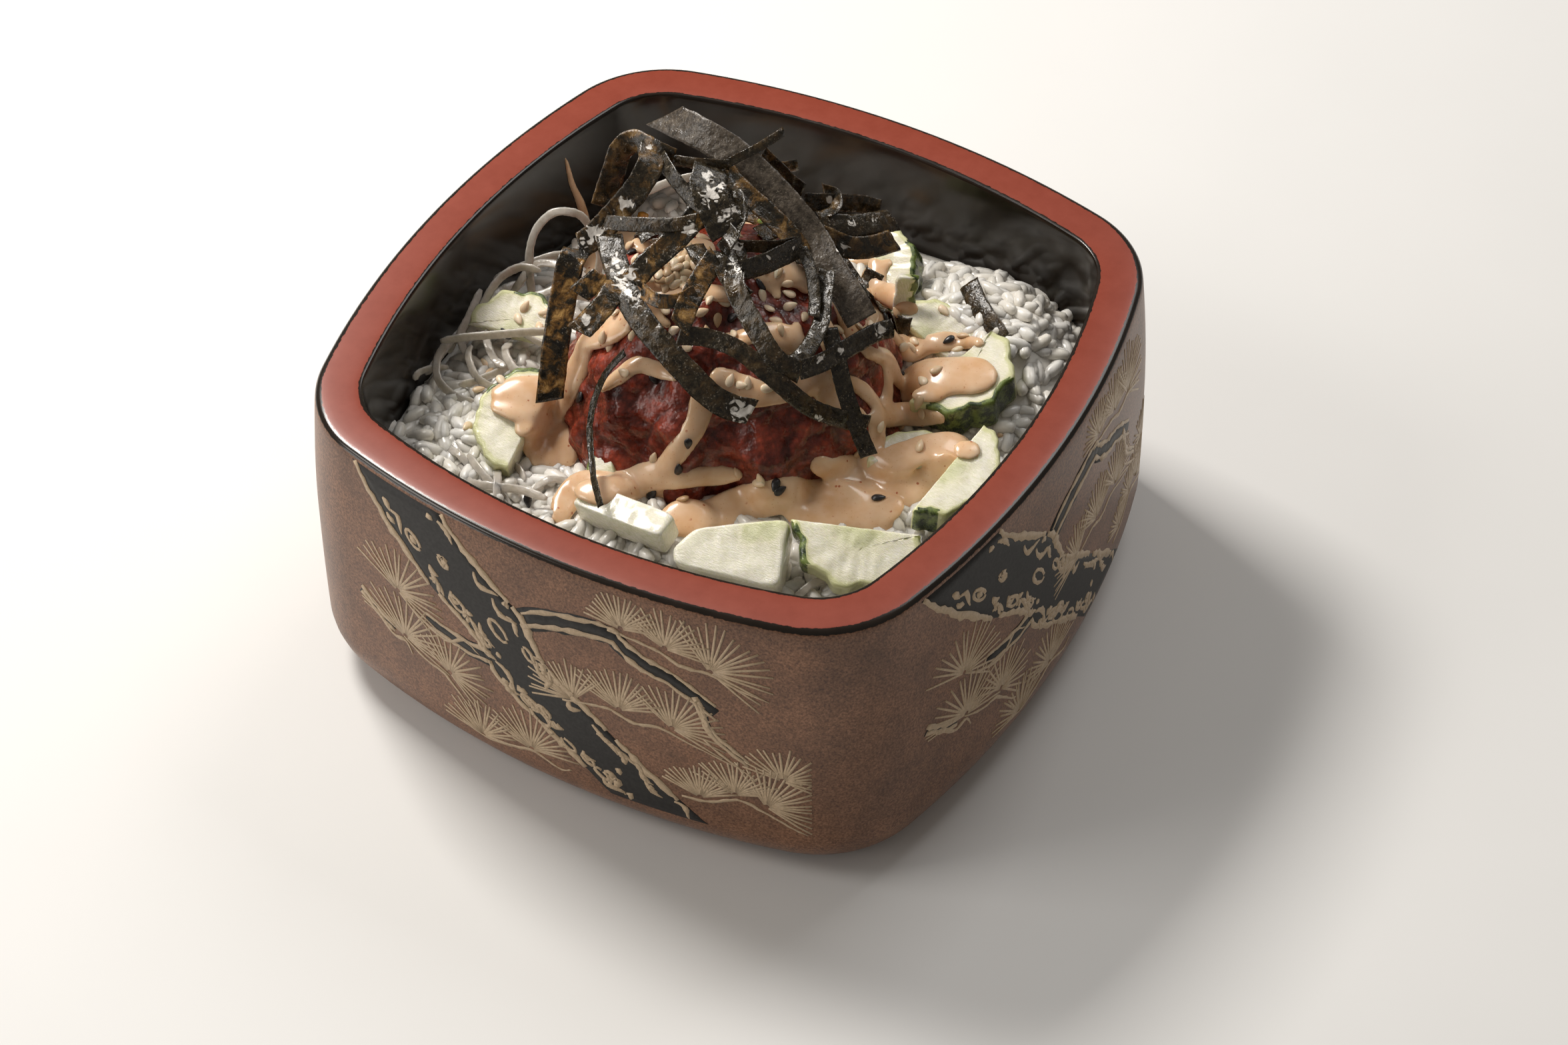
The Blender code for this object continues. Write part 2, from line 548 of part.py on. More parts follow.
def add_tuna_seeds(tuna):
    """Fuse the sesame seeds that show from a step away onto the mound."""
    rng = random.Random(SEED + 1)
    places = list(TUNA_SEEDS)
    for i in range(CLUSTER_SEEDS):
        out = CLUSTER_REACH / MM * math.sqrt((i + 0.5) / CLUSTER_SEEDS)
        turn = i * math.pi * (3 - math.sqrt(5))
        places.append((CLUSTER_CENTRE[0] + out * math.cos(turn), CLUSTER_CENTRE[1] + out * math.sin(turn)))
    tree = tree_of(tuna)
    seeds = []
    for x, y in places:
        spot, normal, _, _ = tree.ray_cast(Vector((x * MM, y * MM, 1.0)), Vector((0, 0, -1)))
        turn = normal.to_track_quat("Z", "Y").to_matrix() @ Matrix.Rotation(rng.uniform(0, math.pi), 3, "Z")
        seeds.append(egg("seed", spot + normal * SEED_SIZE[2] * SEED_RAISED, SEED_SIZE, turn))
    fuse(tuna, seeds)


def half_moon(name, centre, radius, depth, thickness, face, peel):
    """A half-moon slab with a scalloped peel side and eased edges, turned to look along face."""
    outline = []
    for i in range(CUCUMBER_ARC_STEPS + 1):
        angle = math.pi * i / CUCUMBER_ARC_STEPS
        swell = 1 + CUCUMBER_SCALLOP * math.cos(CUCUMBER_SCALLOPS * angle)
        across = radius * swell * math.cos(angle)
        outward = depth * (swell * math.sin(angle) - CUCUMBER_BACK)
        outline.append(Vector((across, outward)) * MM)
    inner = [point * (1 - CUCUMBER_EASE * CUCUMBER_EDGE / (radius * MM)) for point in outline]
    half = thickness * MM / 2
    eased = half - CUCUMBER_EDGE
    rings = []
    for ring, height in ((inner, -half), (outline, -eased), (outline, eased), (inner, half)):
        rings.append([Vector((point.x, point.y, height)) for point in ring])
    body = loft(rings)
    z_axis = Vector(face).normalized()
    y_axis = (Vector(peel) - z_axis * Vector(peel).dot(z_axis)).normalized()
    x_axis = y_axis.cross(z_axis)
    turn = Matrix((x_axis, y_axis, z_axis)).transposed().to_4x4()
    body.transform(Matrix.Translation(Vector(centre) * MM) @ turn)
    return make_object(name, body)


def rope(radius, points):
    """A thick run of sauce: a flattened tube with round ends."""
    route = smooth_route(points, len(points) + 2)
    rings = []
    last = len(route) - 1
    waver, pitch = ROPE_WAVER
    for i, (point, (tangent, side, up)) in enumerate(zip(route, frames(route))):
        size = radius * MM * (1.0 + waver * math.sin(pitch * i))
        if i in (0, last):
            size = radius * MM * ROPE_END
            point = point + tangent * radius * MM * (ROPE_END_REACH if i else -ROPE_END_REACH)
        ring = []
        for k in range(ROPE_SIDES):
            angle = 2 * math.pi * k / ROPE_SIDES
            ring.append(point + (side * math.cos(angle) + up * ROPE_FLATNESS * math.sin(angle)) * size)
        rings.append(ring)
    return make_object("rope", loft(rings))


def build_cucumbers(material, laid):
    """Each cucumber piece with its own run of sauce, cut clear of what was laid before it."""
    for name, (centre, radius, depth, thickness, face, peel) in CUCUMBERS.items():
        piece = half_moon(name, centre, radius, depth, thickness, face, peel)
        piece.data.materials.append(material)
        ropes = [rope(size, route) for owner, size, route in SAUCE_ROPES if owner == name]
        clearances = [grown(shape, CUT_GAP) for shape in [piece] + ropes]
        fuse(piece, ropes)
        trim(piece, laid)
        laid += clearances


def build_sliver(material, laid):
    """A thin upright stick of cucumber between the mound and the slices."""
    centre, size, turn = SLIVER
    body = bmesh.new()
    bmesh.ops.create_cube(body, size=1.0)
    bmesh.ops.subdivide_edges(body, edges=body.edges, cuts=1, use_grid_fill=True)
    rotation = Matrix.Identity(4)
    for axis, degrees in zip("XYZ", turn):
        rotation = Matrix.Rotation(math.radians(degrees), 4, axis) @ rotation
    scale = Matrix.Diagonal((*(Vector(size) * MM), 1.0))
    body.transform(Matrix.Translation(Vector(centre) * MM) @ rotation @ scale)
    sliver = make_object("cucumber_sliver", body, material)
    clearance = grown(sliver, CUT_GAP)
    trim(sliver, laid)
    laid.append(clearance)


def strip(width, thickness, points, stations, tilt=0.0, floor=None):
    """A flat ribbon along a route; floor lifts each corner clear of what lies below."""
    route = smooth_route(points, stations)
    rings = []
    for i, (point, (tangent, side, up)) in enumerate(zip(route, frames(route, tilt))):
        half = side * width / 2
        deep = up * thickness / 2
        ring = [point + half + deep, point - half + deep, point - half - deep, point + half - deep]
        if floor:
            lift = max(floor(corner) for corner in ring)
            ring = [corner + Vector((0, 0, max(0.0, lift))) for corner in ring]
        rings.append(ring)
    return make_object("strip", loft(rings))


def low_core(name, shape, material, segments, rings, crumple=0.0):
    """A squat rounded lump that the strands of a heap are fused to."""
    centre, size = shape
    body = bmesh.new()
    bmesh.ops.create_uvsphere(body, u_segments=segments, v_segments=rings, radius=1.0)
    for vert in body.verts:
        swell = 1 + CORE_SWELL * noise.noise(vert.co * CORE_SWELL_PITCH)
        vert.co = Vector([c * s * MM for c, s in zip(vert.co * swell, size)]) + Vector(centre) * MM
        vert.co.z += crumple * noise.noise(vert.co / NORI_CRUMPLE_SIZE)
    return make_object(name, body, material)


def build_daikon(name, core, strands, material, laid):
    heap = low_core(name, core, material, DAIKON_CORE_SIDES, DAIKON_CORE_RINGS)
    extras = []
    for k, points in enumerate(strands):
        extras.append(strip(STRAND_WIDTH, STRAND_HEIGHT, points, len(points) + STRAND_EXTRA, STRAND_TURN * k))
    clearances = [grown(shape, CUT_GAP) for shape in [heap] + extras]
    for shape in [heap] + extras:
        trim(shape, laid)
    fuse(heap, extras)
    laid += clearances


def build_nori(material, tuna, laid):
    """The heap of shreds: strips draped over the mound, fused to a crumpled core."""
    top = height_finder(tuna)

    def clearance(point):
        below = top(point.x, point.y)
        return below + NORI_LIFT - point.z if below else 0.0

    heap = low_core("nori_shreds", NORI_CORE, material, NORI_CORE_SIDES, NORI_CORE_RINGS, NORI_CRUMPLE)
    high_tuna = grown(tuna, NORI_LIFT)
    trim(heap, [high_tuna])
    bpy.data.objects.remove(high_tuna, do_unlink=True)
    strips = []
    for width, tilt, points in NORI_STRIPS:
        stations = max(NORI_STATIONS, len(points) + 2)
        strips.append(strip(width * MM, NORI_THICKNESS, points, stations, tilt, clearance))
    clearances = [grown(shape, CUT_GAP) for shape in [heap] + strips]
    for extra in strips:
        trim(extra, laid)
    fuse(heap, strips)
    laid += clearances


def build_scrap(material, laid):
    """The single shred of nori that lies on the rice."""
    width, tilt, points = NORI_SCRAP
    scrap = strip(width * MM, NORI_THICKNESS, points, NORI_SCRAP_STATIONS, tilt)
    scrap.name = "nori_scrap"
    scrap.data.materials.append(material)
    clearance = grown(scrap, CUT_GAP)
    trim(scrap, laid)
    laid.append(clearance)


def main():
    clear_scene()
    materials = {name: make_material(name) for name in MATERIALS}
    bowl = build_bowl(materials["lacquer"])
    rice = build_rice_core(materials["rice"])
    tuna = build_tuna_core(materials["tuna"])
    rice_clearance = grown(rice, CUT_GAP)
    tuna_clearance = grown(tuna, CUT_GAP)
    bowl_clearance = grown(bowl, CUT_GAP)
    trim(tuna, [rice_clearance])
    laid = [rice_clearance, bowl_clearance, tuna_clearance]
    build_cucumbers(materials["cucumber"], laid)
    build_sliver(materials["cucumber"], laid)
    build_daikon("daikon_left", DAIKON_CORE, DAIKON_LEFT, materials["daikon"], laid)
    build_daikon("daikon_front", FRONT_CORE, DAIKON_FRONT, materials["daikon"], laid)
    build_daikon("daikon_corner", CORNER_CORE, DAIKON_CORNER, materials["daikon"], laid)
    build_nori(materials["nori"], tuna, laid)
    build_scrap(materials["nori"], laid)
    add_tuna_seeds(tuna)
    fuse(rice, build_grains(rice, laid[1:]))
    for cutter in laid:
        bpy.data.objects.remove(cutter, do_unlink=True)


main()
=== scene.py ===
# Spicy tuna bowl: the looks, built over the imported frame.
# Lengths are in mm unless a name says otherwise; meshes are made in metres.
import math
import random

import bmesh
import bpy
import numpy as np
from mathutils import Matrix, Vector, noise
from mathutils.bvhtree import BVHTree


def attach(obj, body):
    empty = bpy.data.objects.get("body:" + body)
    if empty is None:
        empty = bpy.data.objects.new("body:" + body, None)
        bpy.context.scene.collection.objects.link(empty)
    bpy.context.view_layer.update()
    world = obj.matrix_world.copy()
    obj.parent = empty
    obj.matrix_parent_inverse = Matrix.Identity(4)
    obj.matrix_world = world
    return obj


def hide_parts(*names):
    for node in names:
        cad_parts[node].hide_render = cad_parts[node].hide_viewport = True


mm = 0.001
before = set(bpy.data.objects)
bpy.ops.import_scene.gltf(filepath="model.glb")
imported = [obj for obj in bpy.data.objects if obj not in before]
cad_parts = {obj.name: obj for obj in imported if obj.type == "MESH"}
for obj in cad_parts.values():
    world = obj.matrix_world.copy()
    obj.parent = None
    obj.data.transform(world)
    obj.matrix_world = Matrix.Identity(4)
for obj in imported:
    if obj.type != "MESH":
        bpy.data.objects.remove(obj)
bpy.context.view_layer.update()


# the camera, at the photograph's place and angle
shot = {
    "imageWide": 2352,          # pixels of the photograph
    "imageHigh": 1568,
    "azimuth": 30.098,          # degrees round from -Y towards +X
    "elevation": 46.244,
    "roll": -0.697,
    "lens": 78.98,
    "sensor": 36.0,
    "eye": (268.38, -444.05, 555.33),
}


def cameraAxes():
    azimuth, elevation, roll = (math.radians(shot[key]) for key in ("azimuth", "elevation", "roll"))
    flat = math.cos(elevation)
    back = Vector((math.sin(azimuth) * flat, -math.cos(azimuth) * flat, math.sin(elevation)))
    right = Vector((math.cos(azimuth), math.sin(azimuth), 0.0))
    up = back.cross(right)
    return right * math.cos(roll) + up * math.sin(roll), up * math.cos(roll) - right * math.sin(roll), back


def addCamera():
    right, up, back = cameraAxes()
    data = bpy.data.cameras.new("shotCamera")
    data.lens = shot["lens"]
    data.sensor_width = shot["sensor"]
    data.clip_start, data.clip_end = 0.02, 20.0
    camera = bpy.data.objects.new("shotCamera", data)
    turn = Matrix((right, up, back)).transposed().to_4x4()
    camera.matrix_world = Matrix.Translation(Vector(shot["eye"]) * mm) @ turn
    show(camera)
    bpy.context.scene.camera = camera


def pixelRay(u, v):         # from the eye through a pixel of the photograph
    right, up, back = cameraAxes()
    focal = shot["lens"] / shot["sensor"] * shot["imageWide"]
    aside, above = (u - shot["imageWide"] / 2) / focal, (shot["imageHigh"] / 2 - v) / focal
    return Vector(shot["eye"]) * mm, (right * aside + up * above - back).normalized()


def fromAbove(x, y):
    return Vector((x * mm, y * mm, 0.3)), Vector((0.0, 0.0, -1.0))


def pixelOf(points):         # where points in metres show in the photograph
    right, up, back = (np.array(axis) for axis in cameraAxes())
    focal = shot["lens"] / shot["sensor"] * shot["imageWide"]
    off = np.asarray(points, float).reshape(-1, 3) - np.array(shot["eye"]) * mm
    deep = -off @ back
    return shot["imageWide"] / 2 + focal * (off @ right) / deep, shot["imageHigh"] / 2 - focal * (off @ up) / deep


def nearSpots(points, spots):       # 1 at a spot of the photograph, falling off over its reach in pixels
    u, v = pixelOf(points)
    near = np.zeros(len(u))
    for spotU, spotV, reach in spots:
        near = np.maximum(near, np.exp(-((u - spotU)**2 + (v - spotV)**2) / reach**2))
    return near


# mesh helpers
def spline(points, count):      # smooth line through flat or spatial points, evenly stepped, out in metres
    p = np.array(points, float) * mm
    ends = np.vstack([2 * p[0] - p[1], p, 2 * p[-1] - p[-2]])
    along = np.linspace(0, len(p) - 1, count)
    k = np.minimum(along.astype(int), len(p) - 2)
    t = (along - k)[:, None]
    a, b, c, d = ends[k], ends[k + 1], ends[k + 2], ends[k + 3]
    return 0.5 * (2 * b + (c - a) * t + (2 * a - 5 * b + 4 * c - d) * t**2 + (3 * b - a - 3 * c + d) * t**3)


def unit(vectors):
    return vectors / np.maximum(np.linalg.norm(vectors, axis=-1, keepdims=True), 1e-12)


def lineFrames(line, tilt, face):       # tangent, side and up along a line, the flat towards face
    tangents = unit(np.gradient(line, axis=0))
    sides = np.cross(tangents, face)
    last = None
    for i, side in enumerate(sides):
        length = np.linalg.norm(side)
        if length < 0.2 and last is not None:
            side = last - tangents[i] * (last @ tangents[i])
        elif length < 0.2:
            side = np.array([1.0, 0.0, 0.0])
        side = side / np.linalg.norm(side)
        if last is not None and side @ last < 0:
            side = -side
        sides[i] = last = side
    for _ in range(3):
        sides[1:-1] = unit(sides[:-2] + 2 * sides[1:-1] + sides[2:])
    angle = math.radians(tilt)
    sides = unit(sides * math.cos(angle) + np.cross(tangents, sides) * math.sin(angle))
    return tangents, sides, unit(np.cross(sides, tangents))


def tubeFaces(rows, columns):       # closed tube with flat ends
    row, column = np.meshgrid(np.arange(rows - 1), np.arange(columns), indexing="ij")
    beside = (column + 1) % columns
    quads = np.stack([row * columns + column, row * columns + beside,
                      (row + 1) * columns + beside, (row + 1) * columns + column], -1)
    ends = [list(range(columns))[::-1], list(range((rows - 1) * columns, rows * columns))]
    return quads.reshape(-1, 4).tolist() + ends


def sheetFaces(rows, columns):      # thin closed sheet: the front's points first, then the back's
    number = np.arange(rows * columns).reshape(rows, columns)
    quads = np.stack([number[:-1, :-1], number[:-1, 1:], number[1:, 1:], number[1:, :-1]], -1).reshape(-1, 4)
    border = np.concatenate([number[0, :], number[1:, -1], number[-1, -2::-1], number[-2:0:-1, 0]])
    ahead = np.roll(border, -1)
    count = rows * columns
    skirt = np.stack([border, border + count, ahead + count, ahead], -1)
    return np.concatenate([quads, quads[:, ::-1] + count, skirt]).tolist()


def newHeap():
    return {"verts": [], "faces": [], "count": 0, "values": {}}


def addShape(heap, verts, faces, **values):
    verts = np.asarray(verts, float).reshape(-1, 3)
    start = heap["count"]
    heap["faces"] += [[i + start for i in face] for face in faces]
    heap["verts"].append(verts)
    for key, value in values.items():
        column = np.broadcast_to(np.asarray(value, float).reshape(-1), (len(verts),))
        heap["values"].setdefault(key, []).append(column)
    heap["count"] += len(verts)


def meshFrom(name, heap):
    mesh = bpy.data.meshes.new(name)
    mesh.from_pydata(np.concatenate(heap["verts"]).tolist(), [], heap["faces"])
    for key, columns in heap["values"].items():
        layer = mesh.attributes.new(key, "FLOAT", "POINT")
        layer.data.foreach_set("value", np.concatenate(columns).astype(np.float32))
    body = bmesh.new()
    body.from_mesh(mesh)
    bmesh.ops.recalc_face_normals(body, faces=body.faces)
    body.to_mesh(mesh)
    body.free()
    mesh.shade_smooth()
    return mesh


def show(item):
    bpy.context.scene.collection.objects.link(item)


def addPiece(name, heap, material, nodes=()):     # heap may be a finished mesh
    mesh = heap if isinstance(heap, bpy.types.Mesh) else meshFrom(name, heap)
    piece = bpy.data.objects.new(name, mesh)
    show(piece)
    mesh.materials.clear()
    mesh.materials.append(material)
    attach(piece, "root")
    if nodes:
        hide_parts(*nodes)
    print(name, len(mesh.polygons), "faces")
    return piece


def treeOf(*pieces):
    verts, faces = [], []
    for piece in pieces:
        start = len(verts)
        verts += [vert.co.copy() for vert in piece.data.vertices]
        faces += [[i + start for i in polygon.vertices] for polygon in piece.data.polygons]
    return BVHTree.FromPolygons(verts, faces)


def isInside(tree, point):
    normal = tree.ray_cast(point, Vector((0, 0, 1)))[1]
    return normal is not None and normal.z > 0


def ballShape(segments, rings):     # unit ball, long way on X
    polar = np.linspace(0, math.pi, rings + 1)[1:-1]
    around = np.arange(segments) * 2 * math.pi / segments
    body = np.stack([np.cos(polar)[:, None] + 0 * around,
                     np.sin(polar)[:, None] * np.cos(around),
                     np.sin(polar)[:, None] * np.sin(around)], -1).reshape(-1, 3)
    verts = np.vstack([body, [[1, 0, 0]], [[-1, 0, 0]]])
    rows = rings - 1
    faces = tubeFaces(rows, segments)[:-2]
    top, bottom, low = len(verts) - 2, len(verts) - 1, (rows - 1) * segments
    for i in range(segments):
        j = (i + 1) % segments
        faces.append([top, j, i])
        faces.append([bottom, low + i, low + j])
    return verts, faces


# material helpers
def newMaterial(name, colour, roughness, **sockets):
    material = bpy.data.materials.new(name)
    material.use_nodes = True
    tree = material.node_tree
    shader = tree.nodes["Principled BSDF"]
    shader.inputs["Base Color"].default_value = (*colour, 1)
    shader.inputs["Roughness"].default_value = roughness
    for key, value in sockets.items():
        shader.inputs[key.replace("_", " ")].default_value = value
    return material, tree, shader


def link(tree, source, target):
    tree.links.new(source, target)


def objectPlace(tree):
    return tree.nodes.new("ShaderNodeTexCoord").outputs["Object"]


def noiseNode(tree, size, detail=3.0, rough=0.55, stretch=None, distort=0.0):    # size of a blot in mm
    node = tree.nodes.new("ShaderNodeTexNoise")
    node.inputs["Scale"].default_value = 1.0 / (size * mm)
    node.inputs["Detail"].default_value = detail
    node.inputs["Roughness"].default_value = rough
    node.inputs["Distortion"].default_value = distort
    source = objectPlace(tree)
    if stretch:
        mapping = tree.nodes.new("ShaderNodeMapping")
        mapping.inputs["Scale"].default_value = stretch
        link(tree, source, mapping.inputs["Vector"])
        source = mapping.outputs["Vector"]
    link(tree, source, node.inputs["Vector"])
    return node.outputs["Fac"]


def cellNode(tree, size, feature="F1", output="Distance"):
    node = tree.nodes.new("ShaderNodeTexVoronoi")
    node.feature = feature
    node.inputs["Scale"].default_value = 1.0 / (size * mm)
    link(tree, objectPlace(tree), node.inputs["Vector"])
    return node.outputs[output]


def valueNode(tree, key):
    node = tree.nodes.new("ShaderNodeAttribute")
    node.attribute_name = key
    return node.outputs["Fac"]


def mathNode(tree, kind, a, b=None):
    node = tree.nodes.new("ShaderNodeMath")
    node.operation = kind
    for socket, value in zip(node.inputs, (a, b)):
        if isinstance(value, (int, float)):
            socket.default_value = value
        elif value is not None:
            link(tree, value, socket)
    return node.outputs[0]


def stepNode(tree, source, low, high, to=(0.0, 1.0)):
    node = tree.nodes.new("ShaderNodeMapRange")
    node.interpolation_type = "SMOOTHSTEP"
    link(tree, source, node.inputs["Value"])
    for key, value in (("From Min", low), ("From Max", high), ("To Min", to[0]), ("To Max", to[1])):
        node.inputs[key].default_value = value
    return node.outputs["Result"]


def rampNode(tree, source, stops):      # stops are (place, colour or grey)
    node = tree.nodes.new("ShaderNodeValToRGB")
    ramp = node.color_ramp
    while len(ramp.elements) < len(stops):
        ramp.elements.new(0.5)
    for element, (spot, colour) in zip(ramp.elements, stops):
        element.position = spot
        element.color = (*colour, 1) if isinstance(colour, tuple) else (colour, colour, colour, 1)
    link(tree, source, node.inputs["Fac"])
    return node.outputs["Color"]


def mixNode(tree, share, a, b, kind="MIX"):
    node = tree.nodes.new("ShaderNodeMix")
    node.data_type = "RGBA"
    node.blend_type = kind
    for socket, value in ((node.inputs["Factor"], share), (node.inputs[6], a), (node.inputs[7], b)):
        if isinstance(value, tuple):
            socket.default_value = (*value, 1)
        elif isinstance(value, (int, float)):
            socket.default_value = value
        else:
            link(tree, value, socket)
    return node.outputs[2]


def bumpNode(tree, shader, height, strength, deep, under=None):      # deep in mm
    node = tree.nodes.new("ShaderNodeBump")
    node.inputs["Strength"].default_value = strength
    node.inputs["Distance"].default_value = deep * mm
    link(tree, height, node.inputs["Height"])
    if under is not None:
        link(tree, under, node.inputs["Normal"])
    link(tree, node.outputs["Normal"], shader.inputs["Normal"])
    return node.outputs["Normal"]


# the lacquered bowl
bowl = {
    "profile": [            # half-width, height, corner radius: under the foot, up the outside, down inside
        (62.0, 1.2, 19.0), (62.0, 0.0, 19.0), (71.0, 0.0, 24.0), (73.3, 2.9, 25.0), (77.3, 8.7, 25.4),
        (77.3, 18.0, 25.6), (77.1, 32.5, 25.7), (76.6, 50.5, 25.7), (75.0, 70.6, 25.7), (74.5, 71.7, 25.2),
        (73.4, 72.1, 24.6), (66.2, 72.1, 15.9), (65.5, 71.6, 15.2), (65.2, 60.0, 15.2), (64.5, 30.0, 15.6),
        (63.0, 18.0, 17.0), (58.0, 13.0, 18.0), (50.0, 12.0, 18.0)],
    "sideBow": 2.64,        # radius of a bowed side, over the half-width
    "sideSteps": 28,
    "cornerSteps": 16,
    "edgeStart": 71.2,      # height where the black edge starts outside
    "rimOuter": 73.6,       # half-widths where the red rim starts and ends
    "rimInner": 66.5,
    "edgeWobble": 0.35,
    "brown": (0.176, 0.084, 0.042),
    "brownDark": (0.088, 0.038, 0.019),
    "brownLight": (0.270, 0.140, 0.078),
    "red": (0.225, 0.034, 0.014),
    "redWorn": (0.265, 0.048, 0.024),
    "black": (0.010, 0.0065, 0.004),
}


def cutCorners(points):     # one round of corner cutting, ends kept
    cut = [points[0]]
    for a, b in zip(points, points[1:]):
        cut += [a * 0.75 + b * 0.25, a * 0.25 + b * 0.75]
    return cut + [points[-1]]


def bowlProfile():
    points = [np.array(point) for point in bowl["profile"]]
    return np.array(cutCorners(cutCorners(points)))


def outlineSizes(half, corner):     # bow radius, its centre, the corner's centre, the half swing
    bow = half * bowl["sideBow"]
    back = half - bow
    reach = bow - corner
    middle = (back + np.sqrt(2 * reach**2 - back**2)) / 2
    return bow, back, middle, np.arctan2(middle, middle - back)


def quarterTurn(x, y, z, quarter):
    cosine, sine = ((1, 0), (0, 1), (-1, 0), (0, -1))[quarter]
    return np.stack([x * cosine - y * sine, x * sine + y * cosine, z + 0 * x], -1) * mm


def ringAt(half, height, corner):       # a whole ring round the bowl, anticlockwise from +X
    bow, back, middle, swing = outlineSizes(half, corner)
    side = np.linspace(-swing, swing, bowl["sideSteps"], endpoint=False)
    bend = np.linspace(swing, math.pi / 2 - swing, bowl["cornerSteps"], endpoint=False)
    x = np.concatenate([back + bow * np.cos(side), middle + corner * np.cos(bend)])
    y = np.concatenate([bow * np.sin(side), middle + corner * np.sin(bend)])
    return np.concatenate([quarterTurn(x, y, height, quarter) for quarter in range(4)])


def outerWall():        # the stretch of the profile from the foot's edge up to the rim
    profile = bowlProfile()
    low = np.flatnonzero(profile[:, 1] < 0.01)[-1]
    return profile[low:np.argmax(profile[:, 1] > 71.9)]


def wallPoints(side, run, height, lift):
    # points on the outer wall of a side: run is mm round the wall from its middle, seen from outside
    wall = outerWall()
    half = np.interp(height, wall[:, 1], wall[:, 0])
    corner = np.interp(height, wall[:, 1], wall[:, 2])
    bow, back, middle, swing = outlineSizes(half, corner)
    baseBow, _, _, baseSwing = outlineSizes(77.0, 25.7)
    baseLength = baseSwing * baseBow + (math.pi / 4 - baseSwing) * 25.7
    along = np.abs(run) * (swing * bow + (math.pi / 4 - swing) * corner) / baseLength
    onSide = along <= swing * bow
    angle = np.where(onSide, along / bow, swing + (along - swing * bow) / corner)
    x = np.where(onSide, back + (bow + lift) * np.cos(angle), middle + (corner + lift) * np.cos(angle))
    y = np.where(onSide, (bow + lift) * np.sin(angle), middle + (corner + lift) * np.sin(angle)) * np.sign(run)
    return quarterTurn(x, y, height, side)


def lacquerFinish(lengths):     # lengths along the profile where each band of colour ends
    material, tree, shader = newMaterial("lacquer", bowl["brown"], 0.3, Specular_IOR_Level=0.4, Coat_Weight=0.08,
                                         Coat_Roughness=0.15)
    wobble = mathNode(tree, "MULTIPLY", mathNode(tree, "SUBTRACT", noiseNode(tree, 1.1, 4.0), 0.5),
                      bowl["edgeWobble"] * 2)
    along = mathNode(tree, "ADD", valueNode(tree, "along"), wobble)
    outside = stepNode(tree, along, lengths[0], lengths[0] + 0.15, (1.0, 0.0))
    rim = mathNode(tree, "MULTIPLY", stepNode(tree, along, lengths[1], lengths[1] + 0.15),
                   stepNode(tree, along, lengths[2], lengths[2] + 0.15, (1.0, 0.0)))
    grain = rampNode(tree, noiseNode(tree, 0.5, 2.0, 0.7), [
        (0.34, bowl["brownDark"]), (0.50, bowl["brown"]), (0.70, bowl["brownLight"])])
    cloud = rampNode(tree, noiseNode(tree, 11.0, 5.0, 0.65), [(0.30, (0.66, 0.62, 0.60)), (0.68, (1.22, 1.18, 1.16))])
    brown = mixNode(tree, 1.0, grain, cloud, "MULTIPLY")
    worn = rampNode(tree, noiseNode(tree, 5.0, 6.0, 0.7), [(0.35, bowl["red"]), (0.75, bowl["redWorn"])])
    inner = rampNode(tree, noiseNode(tree, 9.0, 5.0, 0.6), [(0.40, bowl["black"]), (0.75, (0.020, 0.013, 0.009))])
    colour = mixNode(tree, outside, inner, brown)
    colour = mixNode(tree, rim, colour, worn)
    link(tree, colour, shader.inputs["Base Color"])
    smear = rampNode(tree, noiseNode(tree, 7.0, 6.0, 0.7), [(0.35, 0.17), (0.75, 0.24)])
    soft = mixNode(tree, outside, smear, (0.40, 0.40, 0.40))
    soft = mixNode(tree, rim, soft, (0.37, 0.37, 0.37))
    link(tree, soft, shader.inputs["Roughness"])
    pits = mathNode(tree, "MULTIPLY", noiseNode(tree, 0.35, 2.0, 0.6), outside)
    bumpNode(tree, shader, pits, 0.12, 0.06)
    return material


def addBowl():
    profile = bowlProfile()
    steps = np.hypot(*np.diff(profile[:, :2], axis=0).T)
    lengths = np.concatenate([[0], np.cumsum(steps)])
    rings = [ringAt(half, height, corner) for half, height, corner in profile]
    top = np.flatnonzero(profile[:, 1] > 71.9)
    wall = slice(np.flatnonzero(profile[:, 1] < 0.01)[-1], top[0] + 1)
    edge = np.interp(bowl["edgeStart"], profile[wall, 1], lengths[wall])
    flat = slice(top[0], top[-1] + 1)
    rimStart, rimEnd = (np.interp(-bowl[key], -profile[flat, 0], lengths[flat]) for key in ("rimOuter", "rimInner"))
    heap = newHeap()
    columns = len(rings[0])
    addShape(heap, np.concatenate(rings), tubeFaces(len(rings), columns), along=np.repeat(lengths, columns))
    return addPiece("bowlShell", heap, lacquerFinish((edge, rimStart, rimEnd)), ["bowl"])


